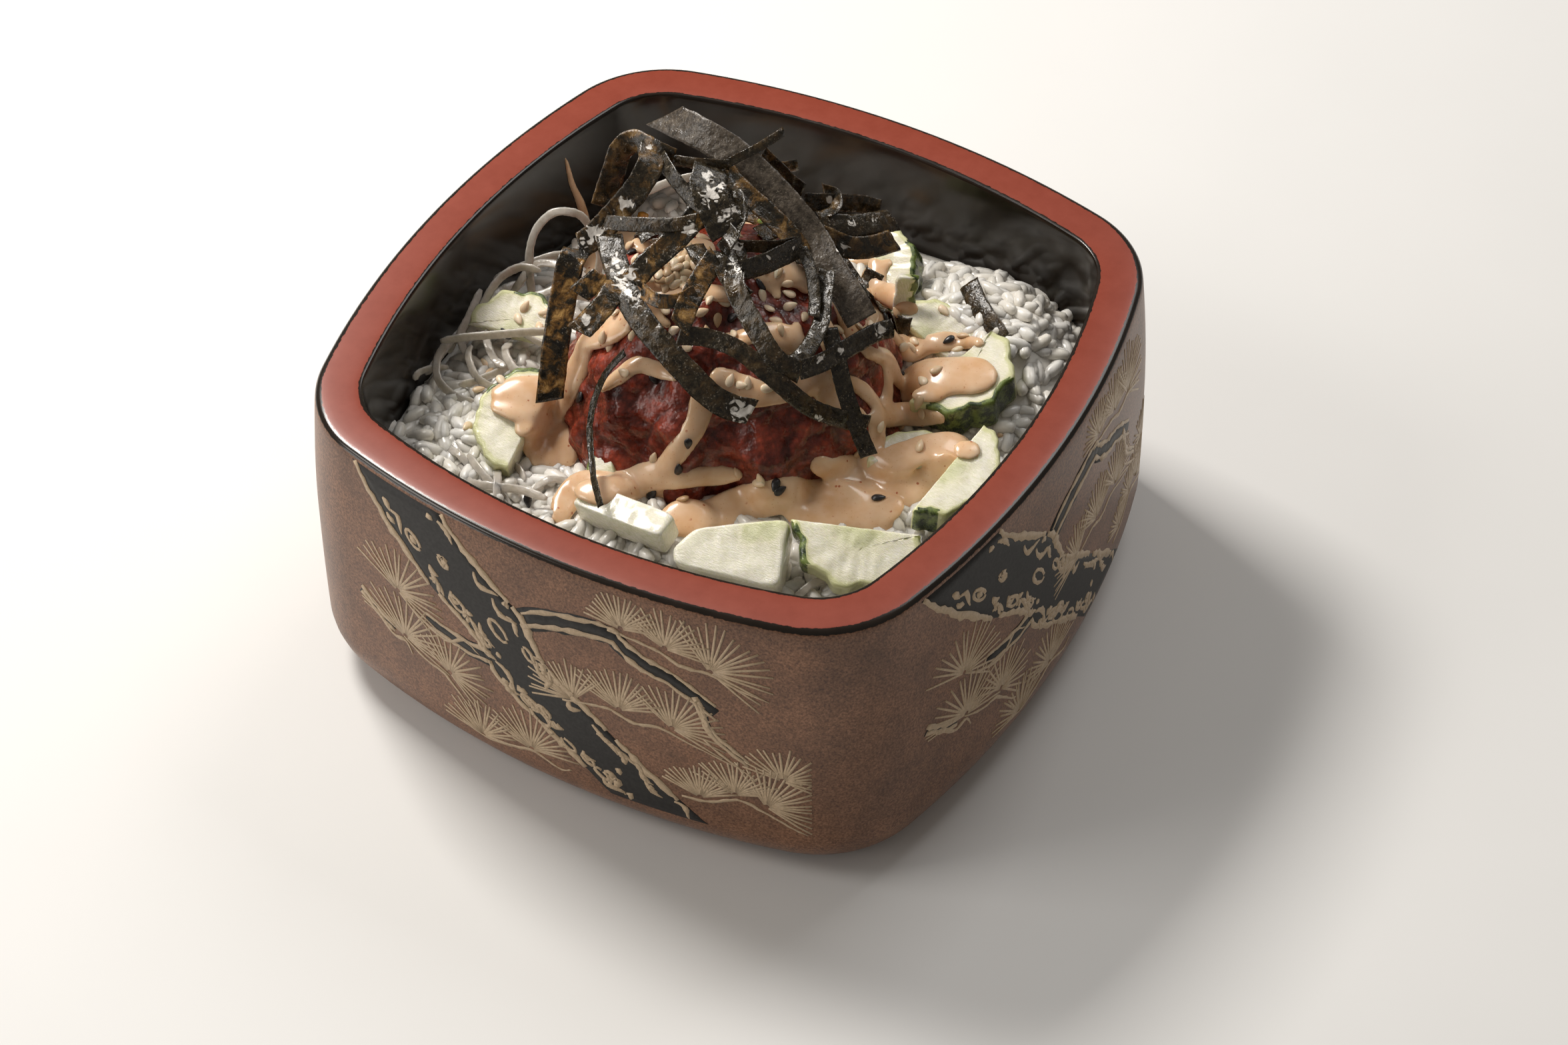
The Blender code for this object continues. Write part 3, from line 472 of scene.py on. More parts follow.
# the pine drawn on each side, in mm round the wall from the side's middle and up from the table
pine = {
    "trunkLeft": [(-50, 70.6), (-40, 60.5), (-31, 51.5), (-25, 47.5), (-19, 43.5), (-15.5, 39.5), (-13, 34),
                  (-9.5, 30), (-3.5, 26), (0.5, 23), (4.5, 20), (9.5, 15.5), (14, 11)],
    "trunkRight": [(-25, 70.6), (-18.5, 64.5), (-10, 57.5), (-5.5, 55), (-2.5, 50), (-0.5, 44.5), (3, 40),
                   (8.5, 35.5), (14, 30.5), (20, 25), (26, 19.5), (31, 15.2), (35.5, 11)],
    "branches": [           # width at the start and the end, route
        (6.2, 2.2, [(-5, 53), (1, 56), (8, 57.8), (15.5, 58.6), (19.5, 55.5), (24, 53.2), (28, 52.2), (33, 49.3),
                    (38, 45.8)]),
        (2.2, 0.7, [(33.5, 48.2), (35.2, 44.5), (36.2, 41), (39.5, 37), (44.5, 33)]),
        (5.6, 1.6, [(-13, 37.5), (-19.5, 37.2), (-24.5, 37.8), (-30, 38.6)]),
        (2.6, 0.9, [(-49, 34.5), (-46, 32.5), (-43, 30.5), (-39.5, 29)]),
    ],
    "twigs": [              # gold, width, route
        (1.0, [(-48.5, 31), (-44, 30.2), (-40, 27), (-36.5, 27.5), (-35, 24.5)]),
        (0.8, [(-37, 28.5), (-31, 25.5), (-26, 24.5), (-21, 19.5), (-18.5, 17.5)]),
        (0.9, [(-34, 39), (-29, 36.6), (-24, 35.6), (-20, 38.6), (-16, 36.6)]),
        (0.8, [(-22, 12.6), (-16, 11), (-10, 12.6), (-4, 14.4), (2, 12.5), (5, 13.6)]),
        (0.8, [(4, 34.8), (10, 36.6), (15, 37.4), (20, 35.8), (26, 36.8), (33, 34.6), (42, 31.4)]),
        (0.9, [(15, 60), (20, 59.6), (26, 58.6), (31, 56.4), (37, 56.2), (43, 53.8), (49, 52.3)]),
        (0.9, [(30, 18), (36, 18.6), (42, 21.4), (47, 19.8), (52, 17), (56.5, 14.6)]),
        (0.7, [(35, 37.5), (38, 34.6), (43, 31), (46, 28.6)]),
    ],
    "fans": [               # hub, needle length, first and last angle
        ((-37.5, 42), 11.0, -38, 158), ((-36.5, 29), 12.0, -20, 165), ((-24.5, 26), 10.0, -48, 150),
        ((-17, 11.5), 9.5, 12, 172), ((-4.5, 15), 10.5, 8, 172), ((18, 61.5), 8.2, 10, 172),
        ((27.5, 60), 9.0, -8, 155), ((37, 57), 12.0, -38, 128), ((6.5, 36.5), 9.8, 48, 200),
        ((17, 38.5), 10.2, 18, 158), ((28.5, 38), 10.4, -24, 142), ((34, 19.5), 8.2, 22, 160),
        ((41.5, 23), 9.0, 12, 156), ((51.5, 30.5), 8.4, -24, 168), ((48, 21.5), 11.5, -34, 118),
    ],
    "needles": 19,
    "needleWidth": (0.66, 0.42),
    "edges": (-49.2, 57.2),         # the print stops here on both sides
    "outlineWidth": 1.9,
    "trunkSteps": 40,
    "scales": 70,                   # bark marks in the trunk
    "barkBetween": (9.0, 69.8),     # heights that the marks keep between
    "needleTop": 69.6,
    "lift": 0.045,
    "sunk": 0.12,
    "seed": 21,
    "gold": (0.50, 0.37, 0.235),
    "ink": (0.013, 0.012, 0.011),
}


def addSlab(heap, side, grid, lift):        # a thin closed patch on the wall; grid is rows x columns of (run, height)
    flat = grid.reshape(-1, 2)
    top = wallPoints(side, flat[:, 0], flat[:, 1], lift)
    low = wallPoints(side, flat[:, 0], flat[:, 1], -pine["sunk"])
    addShape(heap, np.vstack([top, low]), sheetFaces(*grid.shape[:2]))


def strokeGrid(route, widths, wobble, rng, step=2.2):      # a brush stroke: left and right edges of a wavering line
    points = np.array(route, float)
    length = np.hypot(*np.diff(points, axis=0).T).sum()
    count = max(4, int(length / step) + 1)
    line = spline(points, count) / mm
    ahead = unit(np.gradient(line, axis=0))
    aside = np.stack([-ahead[:, 1], ahead[:, 0]], -1)
    half = np.interp(np.linspace(0, 1, count), np.linspace(0, 1, len(widths)), widths) / 2
    left = half * (1 + wobble * np.array([rng.uniform(-1, 1) for _ in range(count)]))
    right = half * (1 + wobble * np.array([rng.uniform(-1, 1) for _ in range(count)]))
    return np.stack([line - aside * right[:, None], line + aside * left[:, None]], 1)


def needleFan(heap, side, hub, length, first, last, rng):
    low, high = pine["edges"]
    for k in range(pine["needles"]):
        angle = math.radians(first + (last - first) * (k + rng.uniform(-0.25, 0.25)) / (pine["needles"] - 1))
        reach = length * rng.uniform(0.92, 1.14)
        way = np.array([math.cos(angle), math.sin(angle)])
        end = np.array(hub) + way * reach
        if end[0] > high:
            reach *= (high - hub[0]) / (end[0] - hub[0])
        if end[0] < low:
            reach *= (low - hub[0]) / (end[0] - hub[0])
        if hub[1] + way[1] * reach > pine["needleTop"]:
            reach = (pine["needleTop"] - hub[1]) / way[1]
        start = np.array(hub) + way * 0.6
        line = start + (way * reach - way * 0.6) * np.linspace(0, 1, 4)[:, None]
        aside = np.array([-way[1], way[0]])
        half = np.linspace(*pine["needleWidth"], 4)[:, None] / 2
        addSlab(heap, side, np.stack([line - aside * half, line + aside * half], 1), pine["lift"] * 2)


def barkMark(rng, middle, ahead, size):     # along the trunk: a long stroke, a short chip or a narrow loop
    aside = np.array([-ahead[1], ahead[0]])
    kind = rng.choice(["stroke", "stroke", "chip", "chip", "loop"])
    steps = np.linspace(0, 1, 8)[:, None]
    if kind == "loop":
        turn = steps * 6.0 + rng.uniform(0, 6.3)
        return middle + ahead * np.cos(turn) * size * 1.4 + aside * np.sin(turn) * size * 0.65, (0.7, 1.0, 0.7)
    length, width = (size * 3.4, 1.5) if kind == "stroke" else (size * 1.5, 1.9)
    bend = rng.uniform(-0.9, 0.9) * size
    route = middle + ahead * (steps - 0.5) * length + aside * (bend * np.sin(steps * rng.uniform(2.6, 5.4)))
    return route, (0.5, width, 0.3)


def trunkEdges():       # the trunk's left and right edges, evenly stepped
    fine = np.linspace(0, 1, pine["trunkSteps"])
    edges = []
    for key in ("trunkLeft", "trunkRight"):
        edge = np.array(pine[key], float)
        coarse = np.linspace(0, 1, len(edge))
        edges.append(np.stack([np.interp(fine, coarse, edge[:, 0]), np.interp(fine, coarse, edge[:, 1])], -1))
    return edges


def addBark(gold, side, left, right, rng):
    last = pine["trunkSteps"] - 1
    low, high = pine["barkBetween"]
    for k in range(pine["scales"]):
        spot = int((k + rng.random()) / pine["scales"] * last)
        near = rng.choice([0.10, 0.18, 0.26, 0.80, 0.88, 0.5])      # mostly close to the trunk's edges
        if near == 0.5 and rng.random() < 0.6:
            near = 0.16
        middle = left[spot] * (1 - near) + right[spot] * near
        after, before = min(last, spot + 2), max(0, spot - 2)
        ahead = unit(left[after] + right[after] - left[before] - right[before])
        route, widths = barkMark(rng, middle, ahead, rng.uniform(1.1, 2.3))
        if route[:, 1].max() < high and route[:, 1].min() > low:
            addSlab(gold, side, strokeGrid(route, widths, 0.3, rng, 0.8), pine["lift"] * 2)


def addPineSide(ink, gold, side, rng):
    left, right = trunkEdges()
    over = pine["lift"] * 2
    across = np.linspace(0, 1, 9)[None, :, None]
    addSlab(ink, side, left[:, None] * (1 - across) + right[:, None] * across, pine["lift"])
    for start, end, route in pine["branches"]:
        addSlab(ink, side, strokeGrid(route, (start, start * 0.75, end), 0.12, rng), pine["lift"])
        for shift in (-0.42, 0.46):         # a gold line along both edges of a branch
            moved = [(x + 0.1 * shift, y + shift * (start + end) / 2) for x, y in route]
            addSlab(gold, side, strokeGrid(moved, (1.0, 1.2, 0.7), 0.6, rng, 1.3), over)
    for edge, inward in ((left, 1), (right, -1)):
        for begin in range(0, 36, 9):
            piece = edge[begin:begin + 10].copy()
            piece[:, 0] += inward * np.array([rng.uniform(-0.2, 0.9) for _ in piece])
            addSlab(gold, side, strokeGrid(piece[::2], (1.0, pine["outlineWidth"], 1.1), 0.5, rng, 1.2), over)
    addBark(gold, side, left, right, rng)
    for width, route in pine["twigs"]:
        addSlab(gold, side, strokeGrid(route, (width * 0.6, width, width * 0.35), 0.5, rng, 1.2), over)
    for hub, length, first, last in pine["fans"]:
        needleFan(gold, side, hub, length, first, last, rng)


def addPine():
    ink, gold = newHeap(), newHeap()
    for side in range(4):
        addPineSide(ink, gold, side, random.Random(pine["seed"]))
    inkMaterial, tree, shader = newMaterial("pineInk", pine["ink"], 0.5, Specular_IOR_Level=0.3)
    fleck = rampNode(tree, noiseNode(tree, 0.8, 4.0), [(0.35, pine["ink"]), (0.75, (0.028, 0.026, 0.024))])
    link(tree, fleck, shader.inputs["Base Color"])
    goldMaterial, tree, shader = newMaterial("pineGold", pine["gold"], 0.45)
    fleck = rampNode(tree, noiseNode(tree, 0.7, 4.0, 0.7), [(0.30, (0.36, 0.26, 0.16)), (0.62, pine["gold"])])
    link(tree, fleck, shader.inputs["Base Color"])
    addPiece("pineInk", ink, inkMaterial)
    addPiece("pineGold", gold, goldMaterial)


# the rice: a lumpy bed with grains laid all over it
rice = {
    "level": 48.0,
    "heaps": [(40, 42, 11.0, 20), (60, 60, -8.0, 14), (-48, -40, 2.0, 22), (2, -50, 1.5, 20), (-42, 34, -4.5, 30),
              (52, -44, -1.0, 18)],
    "wallFall": 2.5,
    "lump": 1.6,
    "lumpSize": 8.0,
    "bedDrop": -0.9,        # the bed lies this far under the grains' level
    "floor": 12.4,
    "grain": (6.8, 3.1, 2.9),
    "spacing": 3.0,
    "layers": (0.35, 1.4),         # heights of the two layers of grains over the bed
    "thinned": 0.5,         # share left out of the upper layer
    "clearOfTuna": 31.0,
    "half": 64,             # half-width that the grains are laid out over
    "inWall": 63,           # no grain past this
    "pushed": 60,           # past this the grains lie along the wall
    "corner": (46, 15.0),   # centre and radius of the rounded corner
    "rings": (1.0, 0.985, 0.96, 0.92, 0.86, 0.79, 0.71, 0.62, 0.52, 0.41, 0.29, 0.15, 0.03),
    "sizes": (0.84, 1.08),
    "pitch": 0.45,
    "seed": 5,
    "colour": (0.87, 0.835, 0.765),
}


def riceHeight(x, y):       # mm in, mm out
    height = rice["level"]
    for heapX, heapY, rise, reach in rice["heaps"]:
        height += rise * math.exp(-((x - heapX)**2 + (y - heapY)**2) / reach**2)
    height += rice["lump"] * noise.noise(Vector((x, y, 0)) / rice["lumpSize"])
    return height - rice["wallFall"] * 5 * max(0.0, max(abs(x), abs(y)) / 64.0 - 0.8)


def grainShape():
    verts, faces = ballShape(8, 5)
    along = np.abs(verts[:, :1])
    verts[:, 1:] *= np.sqrt((1 - along**3) / np.maximum(1 - along**2, 0.01))
    verts *= np.array(rice["grain"]) / 2 * mm
    verts[:, 2] -= 0.05 * mm * (verts[:, 0] / (2 * mm))**2
    return verts, faces


def riceFinish():
    material, tree, shader = newMaterial("steamedRice", rice["colour"], 0.3, Subsurface_Weight=0.45,
                                         Subsurface_Scale=0.0025)
    shader.inputs["Subsurface Radius"].default_value = (1.0, 0.95, 0.9)
    tone = rampNode(tree, valueNode(tree, "tone"), [(0.0, (0.80, 0.755, 0.67)), (0.6, rice["colour"]),
                                                    (1.0, (0.92, 0.895, 0.84))])
    milk = rampNode(tree, noiseNode(tree, 1.4, 3.0), [(0.30, 0.93), (0.70, 1.0)])
    link(tree, mixNode(tree, 1.0, tone, milk, "MULTIPLY"), shader.inputs["Base Color"])
    wet = rampNode(tree, noiseNode(tree, 2.2, 3.0), [(0.35, 0.16), (0.7, 0.42)])
    link(tree, wet, shader.inputs["Roughness"])
    bumpNode(tree, shader, noiseNode(tree, 0.7, 3.0), 0.2, 0.15)
    return material


def addRice(toppings):
    heap = newHeap()
    rings = []
    bed = [(50.0, 12.0, 18.0), (58.0, 13.0, 18.0), (63.0, 18.0, 17.0), (64.5, 30.0, 15.6)]
    for half, height, corner in bed:
        rings.append(ringAt(half - 0.6, height + 0.4, corner))
    for share in rice["rings"]:
        ring = ringAt(64.4 * share, 0.0, 15.3 * share)
        ring[:, 2] = [(riceHeight(x / mm, y / mm) - rice["bedDrop"]) * mm for x, y, _ in ring]
        rings.append(ring)
    addShape(heap, np.concatenate(rings), tubeFaces(len(rings), len(rings[0])), tone=0.45)
    shape, faces = grainShape()
    rng = random.Random(rice["seed"])
    trees = [treeOf(piece) for piece in toppings]
    placed = 0
    half, pitchMost = rice["half"], rice["pitch"]
    cornerMiddle, cornerRadius = rice["corner"]
    tunaX, tunaY = tuna["centre"]
    count = int(2 * half / rice["spacing"])
    for layer in rice["layers"]:
        for row in range(count):
            for column in range(count):
                x = -half + (column + rng.uniform(0.0, 1.0)) * rice["spacing"]
                y = -half + (row + rng.uniform(0.0, 1.0)) * rice["spacing"]
                heading, pitch, roll = rng.uniform(0, math.pi), rng.uniform(-pitchMost, pitchMost), rng.uniform(0, 6.3)
                size, tone = rng.uniform(*rice["sizes"]), rng.random()
                far = max(abs(x), abs(y))
                if far > rice["inWall"] or math.hypot(x - tunaX, y - tunaY) < rice["clearOfTuna"]:
                    continue
                if math.hypot(max(0, abs(x) - cornerMiddle), max(0, abs(y) - cornerMiddle)) > cornerRadius:
                    continue
                if far > rice["pushed"]:
                    heading = math.pi / 2 + rng.uniform(-0.4, 0.4) if abs(x) > abs(y) else rng.uniform(-0.4, 0.4)
                if layer > 1 and rng.random() < rice["thinned"]:
                    continue
                spot = Vector((x, y, riceHeight(x, y) + layer)) * mm
                if any(isInside(tree, spot + Vector((0, 0, 1.2 * mm))) for tree in trees):
                    continue
                turn = Matrix.Rotation(heading, 3, "Z") @ Matrix.Rotation(pitch, 3, "Y") @ Matrix.Rotation(roll, 3, "X")
                verts = shape * size @ np.array(turn).T + np.array(spot)
                addShape(heap, verts, faces, tone=tone)
                placed += 1
    print("grains of rice", placed)
    return addPiece("riceHeap", heap, riceFinish(), ["rice"])


# the mound of chopped tuna
tuna = {
    "centre": (-3.0, 2.0),
    "radius": 37.0,
    "top": 87.0,
    "seed": 7,
    "base": 44.0,
    "flank": (2.3, 0.62),
    "lobe": 2.6,
    "notch": (-61.0, 6.5, 11.0),        # angle, depth and half-angle of the cleft at the front
    "lump": (2.3, 9.0),                 # height and size of the lumps
    "crumb": (0.9, 4.2),
    "chop": (0.8, 7.5, 2.4, 0.62),      # the cut pieces: height, size, how sharp and how wide the gaps are
    "mince": (0.14, 1.2),
    "bent": (1.4, 3.0),                 # how far and how finely the cuts waver
    "slide": 1.9,                       # over 1 puts more rows near the top
    "around": 380,
    "down": 120,
    "deep": (0.100, 0.0145, 0.0075),
    "red": (0.245, 0.041, 0.020),
    "pale": (0.54, 0.19, 0.11),
}


def tunaReach(angle):
    swirl = Vector((math.cos(angle), math.sin(angle), 0.3)) * 1.9
    notchAngle, notchDepth, notchHalf = tuna["notch"]
    off = (math.degrees(angle) - notchAngle + 180) % 360 - 180
    return tuna["radius"] + tuna["lobe"] * noise.noise(swirl) - notchDepth * math.exp(-(off / notchHalf)**2)


def tunaFinish():
    material, tree, shader = newMaterial("choppedTuna", tuna["red"], 0.2, Subsurface_Weight=0.35,
                                         Subsurface_Scale=0.003,
                                         Coat_Weight=0.12, Coat_Roughness=0.1)
    shader.inputs["Subsurface Radius"].default_value = (1.0, 0.25, 0.15)
    patches = rampNode(tree, noiseNode(tree, 6.0, 5.0, 0.62, distort=0.6), [
        (0.30, tuna["deep"]), (0.50, tuna["red"]), (0.66, (0.38, 0.066, 0.034)), (0.80, tuna["pale"])])
    # painted shade: darker in the cuts between the chopped pieces, where the surface lies low
    creviceShade = rampNode(tree, valueNode(tree, "raised"), [(0.20, (0.38, 0.30, 0.30)), (0.55, 1.0)])
    # painted sparkle and shade: each small crumb lighter in its middle and darker in the gaps to its neighbours
    crumbSparkleAndShade = rampNode(tree, cellNode(tree, 1.3), [(0.10, (1.35, 1.25, 1.2)), (0.42, 1.0), (0.80, (0.70, 0.62, 0.60))])
    colour = mixNode(tree, 1.0, mixNode(tree, 1.0, patches, creviceShade, "MULTIPLY"), crumbSparkleAndShade, "MULTIPLY")
    link(tree, colour, shader.inputs["Base Color"])
    wet = rampNode(tree, noiseNode(tree, 2.0, 4.0), [(0.35, 0.18), (0.65, 0.48)])
    link(tree, wet, shader.inputs["Roughness"])
    grit = bumpNode(tree, shader, cellNode(tree, 0.8), 0.45, 0.25)
    bumpNode(tree, shader, noiseNode(tree, 0.55, 3.0), 0.35, 0.2, grit)
    return material


def addTuna():
    noise.seed_set(tuna["seed"])        # vector noise starts anywhere without it
    angles = np.linspace(0, 2 * math.pi, tuna["around"], endpoint=False)
    reach = np.array([tunaReach(angle) for angle in angles]) * mm
    slide = np.linspace(0, 1, tuna["down"])
    shares = np.clip(1 - slide**tuna["slide"], 0.004, 1)
    heights = (tuna["base"] + (tuna["top"] - tuna["base"]) * (1 - shares**tuna["flank"][0])**tuna["flank"][1]) * mm
    centreX, centreY = tuna["centre"]
    points = np.stack([centreX * mm + reach * shares[:, None] * np.cos(angles),
                       centreY * mm + reach * shares[:, None] * np.sin(angles),
                       heights[:, None] + 0 * reach], -1)
    around = np.roll(points, -1, axis=1) - np.roll(points, 1, axis=1)
    normals = unit(np.cross(around, np.gradient(points, axis=0)))
    raised = np.zeros(points.shape[:2])
    chopHeight, chopSize, sharp, wide = tuna["chop"]
    bentFar, bentSize = tuna["bent"]
    for i in range(points.shape[0]):
        for j in range(points.shape[1]):
            p = Vector(points[i, j]) / mm
            lump = tuna["lump"][0] * noise.noise(p / tuna["lump"][1] + Vector((3.1, 0, 0)))
            crumb = tuna["crumb"][0] * noise.noise(p / tuna["crumb"][1])
            bent = p + bentFar * noise.noise_vector(p / bentSize)
            cells, _ = noise.voronoi(bent / chopSize)
            gap = min(1.0, (cells[1] - cells[0]) * sharp)
            small, _ = noise.voronoi(bent / tuna["mince"][1])
            chop = chopHeight * (gap - wide) + tuna["mince"][0] * (0.9 - 1.6 * small[0])
            points[i, j] += normals[i, j] * (lump + crumb + chop) * mm
            # how high a point stands between the cuts; the finish paints shade where it is low
            raised[i, j] = 0.5 + 0.35 * (gap - wide) + 0.35 * (0.5 - small[0])
    heap = newHeap()
    addShape(heap, points, tubeFaces(*points.shape[:2]), raised=raised.reshape(-1))
    return addPiece("tunaMound", heap, tunaFinish(), ["tuna"])


# cucumber: half-moons cut from the whole, peel out along their own y
cucumber = {
    # node: centre, radius, depth, thickness, way the flat looks, way to the peel, scallop, arc of dark peel
    "pieces": {
        "cucumber_front_chunk": ((0, -45, 58.0), 10.5, 9.0, 6.6, (-0.10, -0.20, 0.97), (0.1, -1.0, -0.2), 0.02, (0, 0)),
        "cucumber_front_wedge": ((24, -42, 57.5), 12.5, 10.0, 7.0, (0.08, -0.42, 0.90), (0.42, -0.55, -0.72), 0.03,
                                 (0, 0)),
        "cucumber_front_slice": ((46, -32, 56.5), 13.0, 12.5, 6.0, (0.2, -0.38, 0.90), (0.35, -0.90, -0.25), 0.06,
                                 (0, 48)),
        "cucumber_right_lower": ((55, -3, 55.5), 13.0, 9.0, 7.5, (0.12, -0.15, 0.98), (1.0, -0.1, -0.1), 0.03, (0, 34)),
        "cucumber_right_middle": ((44, 22, 56.5), 12.5, 13.0, 8.0, (-0.02, -0.16, 0.99), (0.96, -0.28, 0.0), 0.05,
                                  (14, 118)),
        "cucumber_flat_middle": ((42, 1, 54.5), 10.0, 9.0, 3.6, (0.0, -0.10, 1.0), (-0.4, 0.9, 0.0), 0.03, (0, 0)),
        "cucumber_upper_right": ((13, 45, 57.0), 9.5, 10.0, 7.0, (-0.10, -0.42, 0.90), (0.95, 0.25, -0.05), 0.03,
                                 (25, 140)),
        "cucumber_under_right": ((31, 33, 57.0), 11.5, 10.5, 4.0, (0.1, -0.22, 0.97), (0.3, 0.95, 0.1), 0.035, (0, 0)),
        "cucumber_left_slice": ((-50, -5, 55.5), 11.0, 10.5, 3.4, (0.12, -0.36, 0.93), (-0.2, 0.95, 0.35), 0.05,
                                (38, 112)),
        "cucumber_left_chunk": ((-36, -31, 54.5), 12.5, 12.0, 8.0, (0.12, -0.30, 0.95), (-0.97, -0.05, -0.15), 0.02,
                                (0, 82)),
        "cucumber_under_front": ((-10, -36, 52.5), 8.0, 7.0, 4.5, (-0.1, -0.45, 0.89), (-0.7, -0.6, -0.2), 0.03,
                                 (0, 180)),
    },
    "blocks": {             # cut blocks: the corners of the upper face, where they show in the photograph
        "cucumber_front_chunk": [
            (856, 754), (925, 781), (989, 805), (1000, 790), (1012, 771), (945, 746), (884, 722), (869, 739)],
        "cucumber_front_wedge": [
            (1008, 822), (1010, 845), (1085, 864), (1168, 884), (1176, 830), (1185, 777), (1110, 784), (1040, 792)],
    },
    "jelly": [(1152, 792, 26), (1128, 800, 20), (1172, 784, 16)],     # pixels and reach of the seeds in the wedge
    "edge": 0.9,
    "arcSteps": 66,
    "cutSteps": 26,
    "rings": (1.0, 0.96, 0.90, 0.82, 0.73, 0.64, 0.55, 0.46, 0.37, 0.28, 0.19, 0.09),
    "sliver": ((21.5, 34.0, 62.5), (4.6, 1.6, 10.5), (-12, 8, 30)),
    "flesh": (0.88, 0.84, 0.67),
    "white": (0.94, 0.90, 0.79),
    "seedZone": (0.74, 0.73, 0.50),
    "green": (0.68, 0.68, 0.38),
    "peel": (0.022, 0.040, 0.012),
    "peelPale": (0.20, 0.26, 0.07),
}


def cucumberFinish():
    material, tree, shader = newMaterial("cucumberFlesh", cucumber["flesh"], 0.2, Subsurface_Weight=0.35,
                                         Subsurface_Scale=0.003, Coat_Weight=0.3, Coat_Roughness=0.1)
    shader.inputs["Subsurface Radius"].default_value = (0.9, 1.0, 0.5)
    deep = valueNode(tree, "depth")         # 0 at the peel, 1 at the middle
    waver = mathNode(tree, "MULTIPLY", mathNode(tree, "SUBTRACT", noiseNode(tree, 2.5, 3.0), 0.5), 0.16)
    inner = rampNode(tree, mathNode(tree, "ADD", deep, waver), [
        (0.02, cucumber["green"]), (0.10, cucumber["flesh"]), (0.30, cucumber["white"]), (0.58, cucumber["flesh"]),
        (0.72, cucumber["seedZone"]), (1.0, (0.68, 0.68, 0.45))])
    fibres = rampNode(tree, noiseNode(tree, 0.9, 3.0, 0.6, (1.0, 6.0, 1.0)), [(0.34, (0.84, 0.86, 0.74)), (0.62, 1.0)])
    flesh = mixNode(tree, 1.0, inner, fibres, "MULTIPLY")
    stripe = rampNode(tree, noiseNode(tree, 2.6, 4.0, 0.7), [(0.42, cucumber["peel"]), (0.60, cucumber["peelPale"])])
    skin = mathNode(tree, "ADD", valueNode(tree, "skin"), waver)
    peeled = mixNode(tree, stepNode(tree, skin, 0.10, 0.40), flesh, cucumber["green"])
    link(tree, mixNode(tree, stepNode(tree, skin, 0.52, 0.66), peeled, stripe), shader.inputs["Base Color"])
    bumpNode(tree, shader, noiseNode(tree, 0.8, 4.0, 0.6, (1.0, 4.0, 1.0)), 0.5, 0.35)
    return material


def halfMoon(spec, seed):       # outline and how much peel shows
    _, radius, depth, _, _, _, scallop, (darkFrom, darkTo) = spec
    arc = np.linspace(0, math.pi, cucumber["arcSteps"])
    swell = 1 + scallop * np.cos(9 * arc) + 0.012 * np.cos(23 * arc + seed)
    rim = np.stack([radius * swell * np.cos(arc), depth * swell * np.sin(arc) - 0.42 * depth], -1)
    cut = np.linspace(-1, 1, cucumber["cutSteps"])[1:-1]
    flat = np.stack([radius * (1 + scallop) * cut, -0.42 * depth + 0 * cut], -1)
    degrees = np.degrees(arc)
    dark = np.clip((degrees - darkFrom) / 6, 0, 1) * np.clip((darkTo - degrees) / 6, 0, 1)
    return np.vstack([rim, flat]), np.concatenate([0.42 + 0.58 * dark, np.zeros(len(flat))])


def cutBlock(pixels, centre, turn):     # outline of an upper face seen in the photograph, corners softened
    corners = []
    for u, v in pixels:
        eye, way = pixelRay(u, v)
        eye, way = np.array(eye) / mm, np.array(way)
        spot = eye + way * ((centre - eye) @ turn[2]) / (way @ turn[2])
        corners.append((turn[:2] @ (spot - centre)))
    corners = np.array(corners)
    fine = np.concatenate([a + (b - a) * np.linspace(0, 1, 9)[:-1, None] for a,
                           b in zip(corners, np.roll(corners, -1, 0))])
    for _ in range(4):
        fine = (np.roll(fine, 1, 0) + 2 * fine + np.roll(fine, -1, 0)) / 4
    return fine, np.full(len(fine), 0.06)


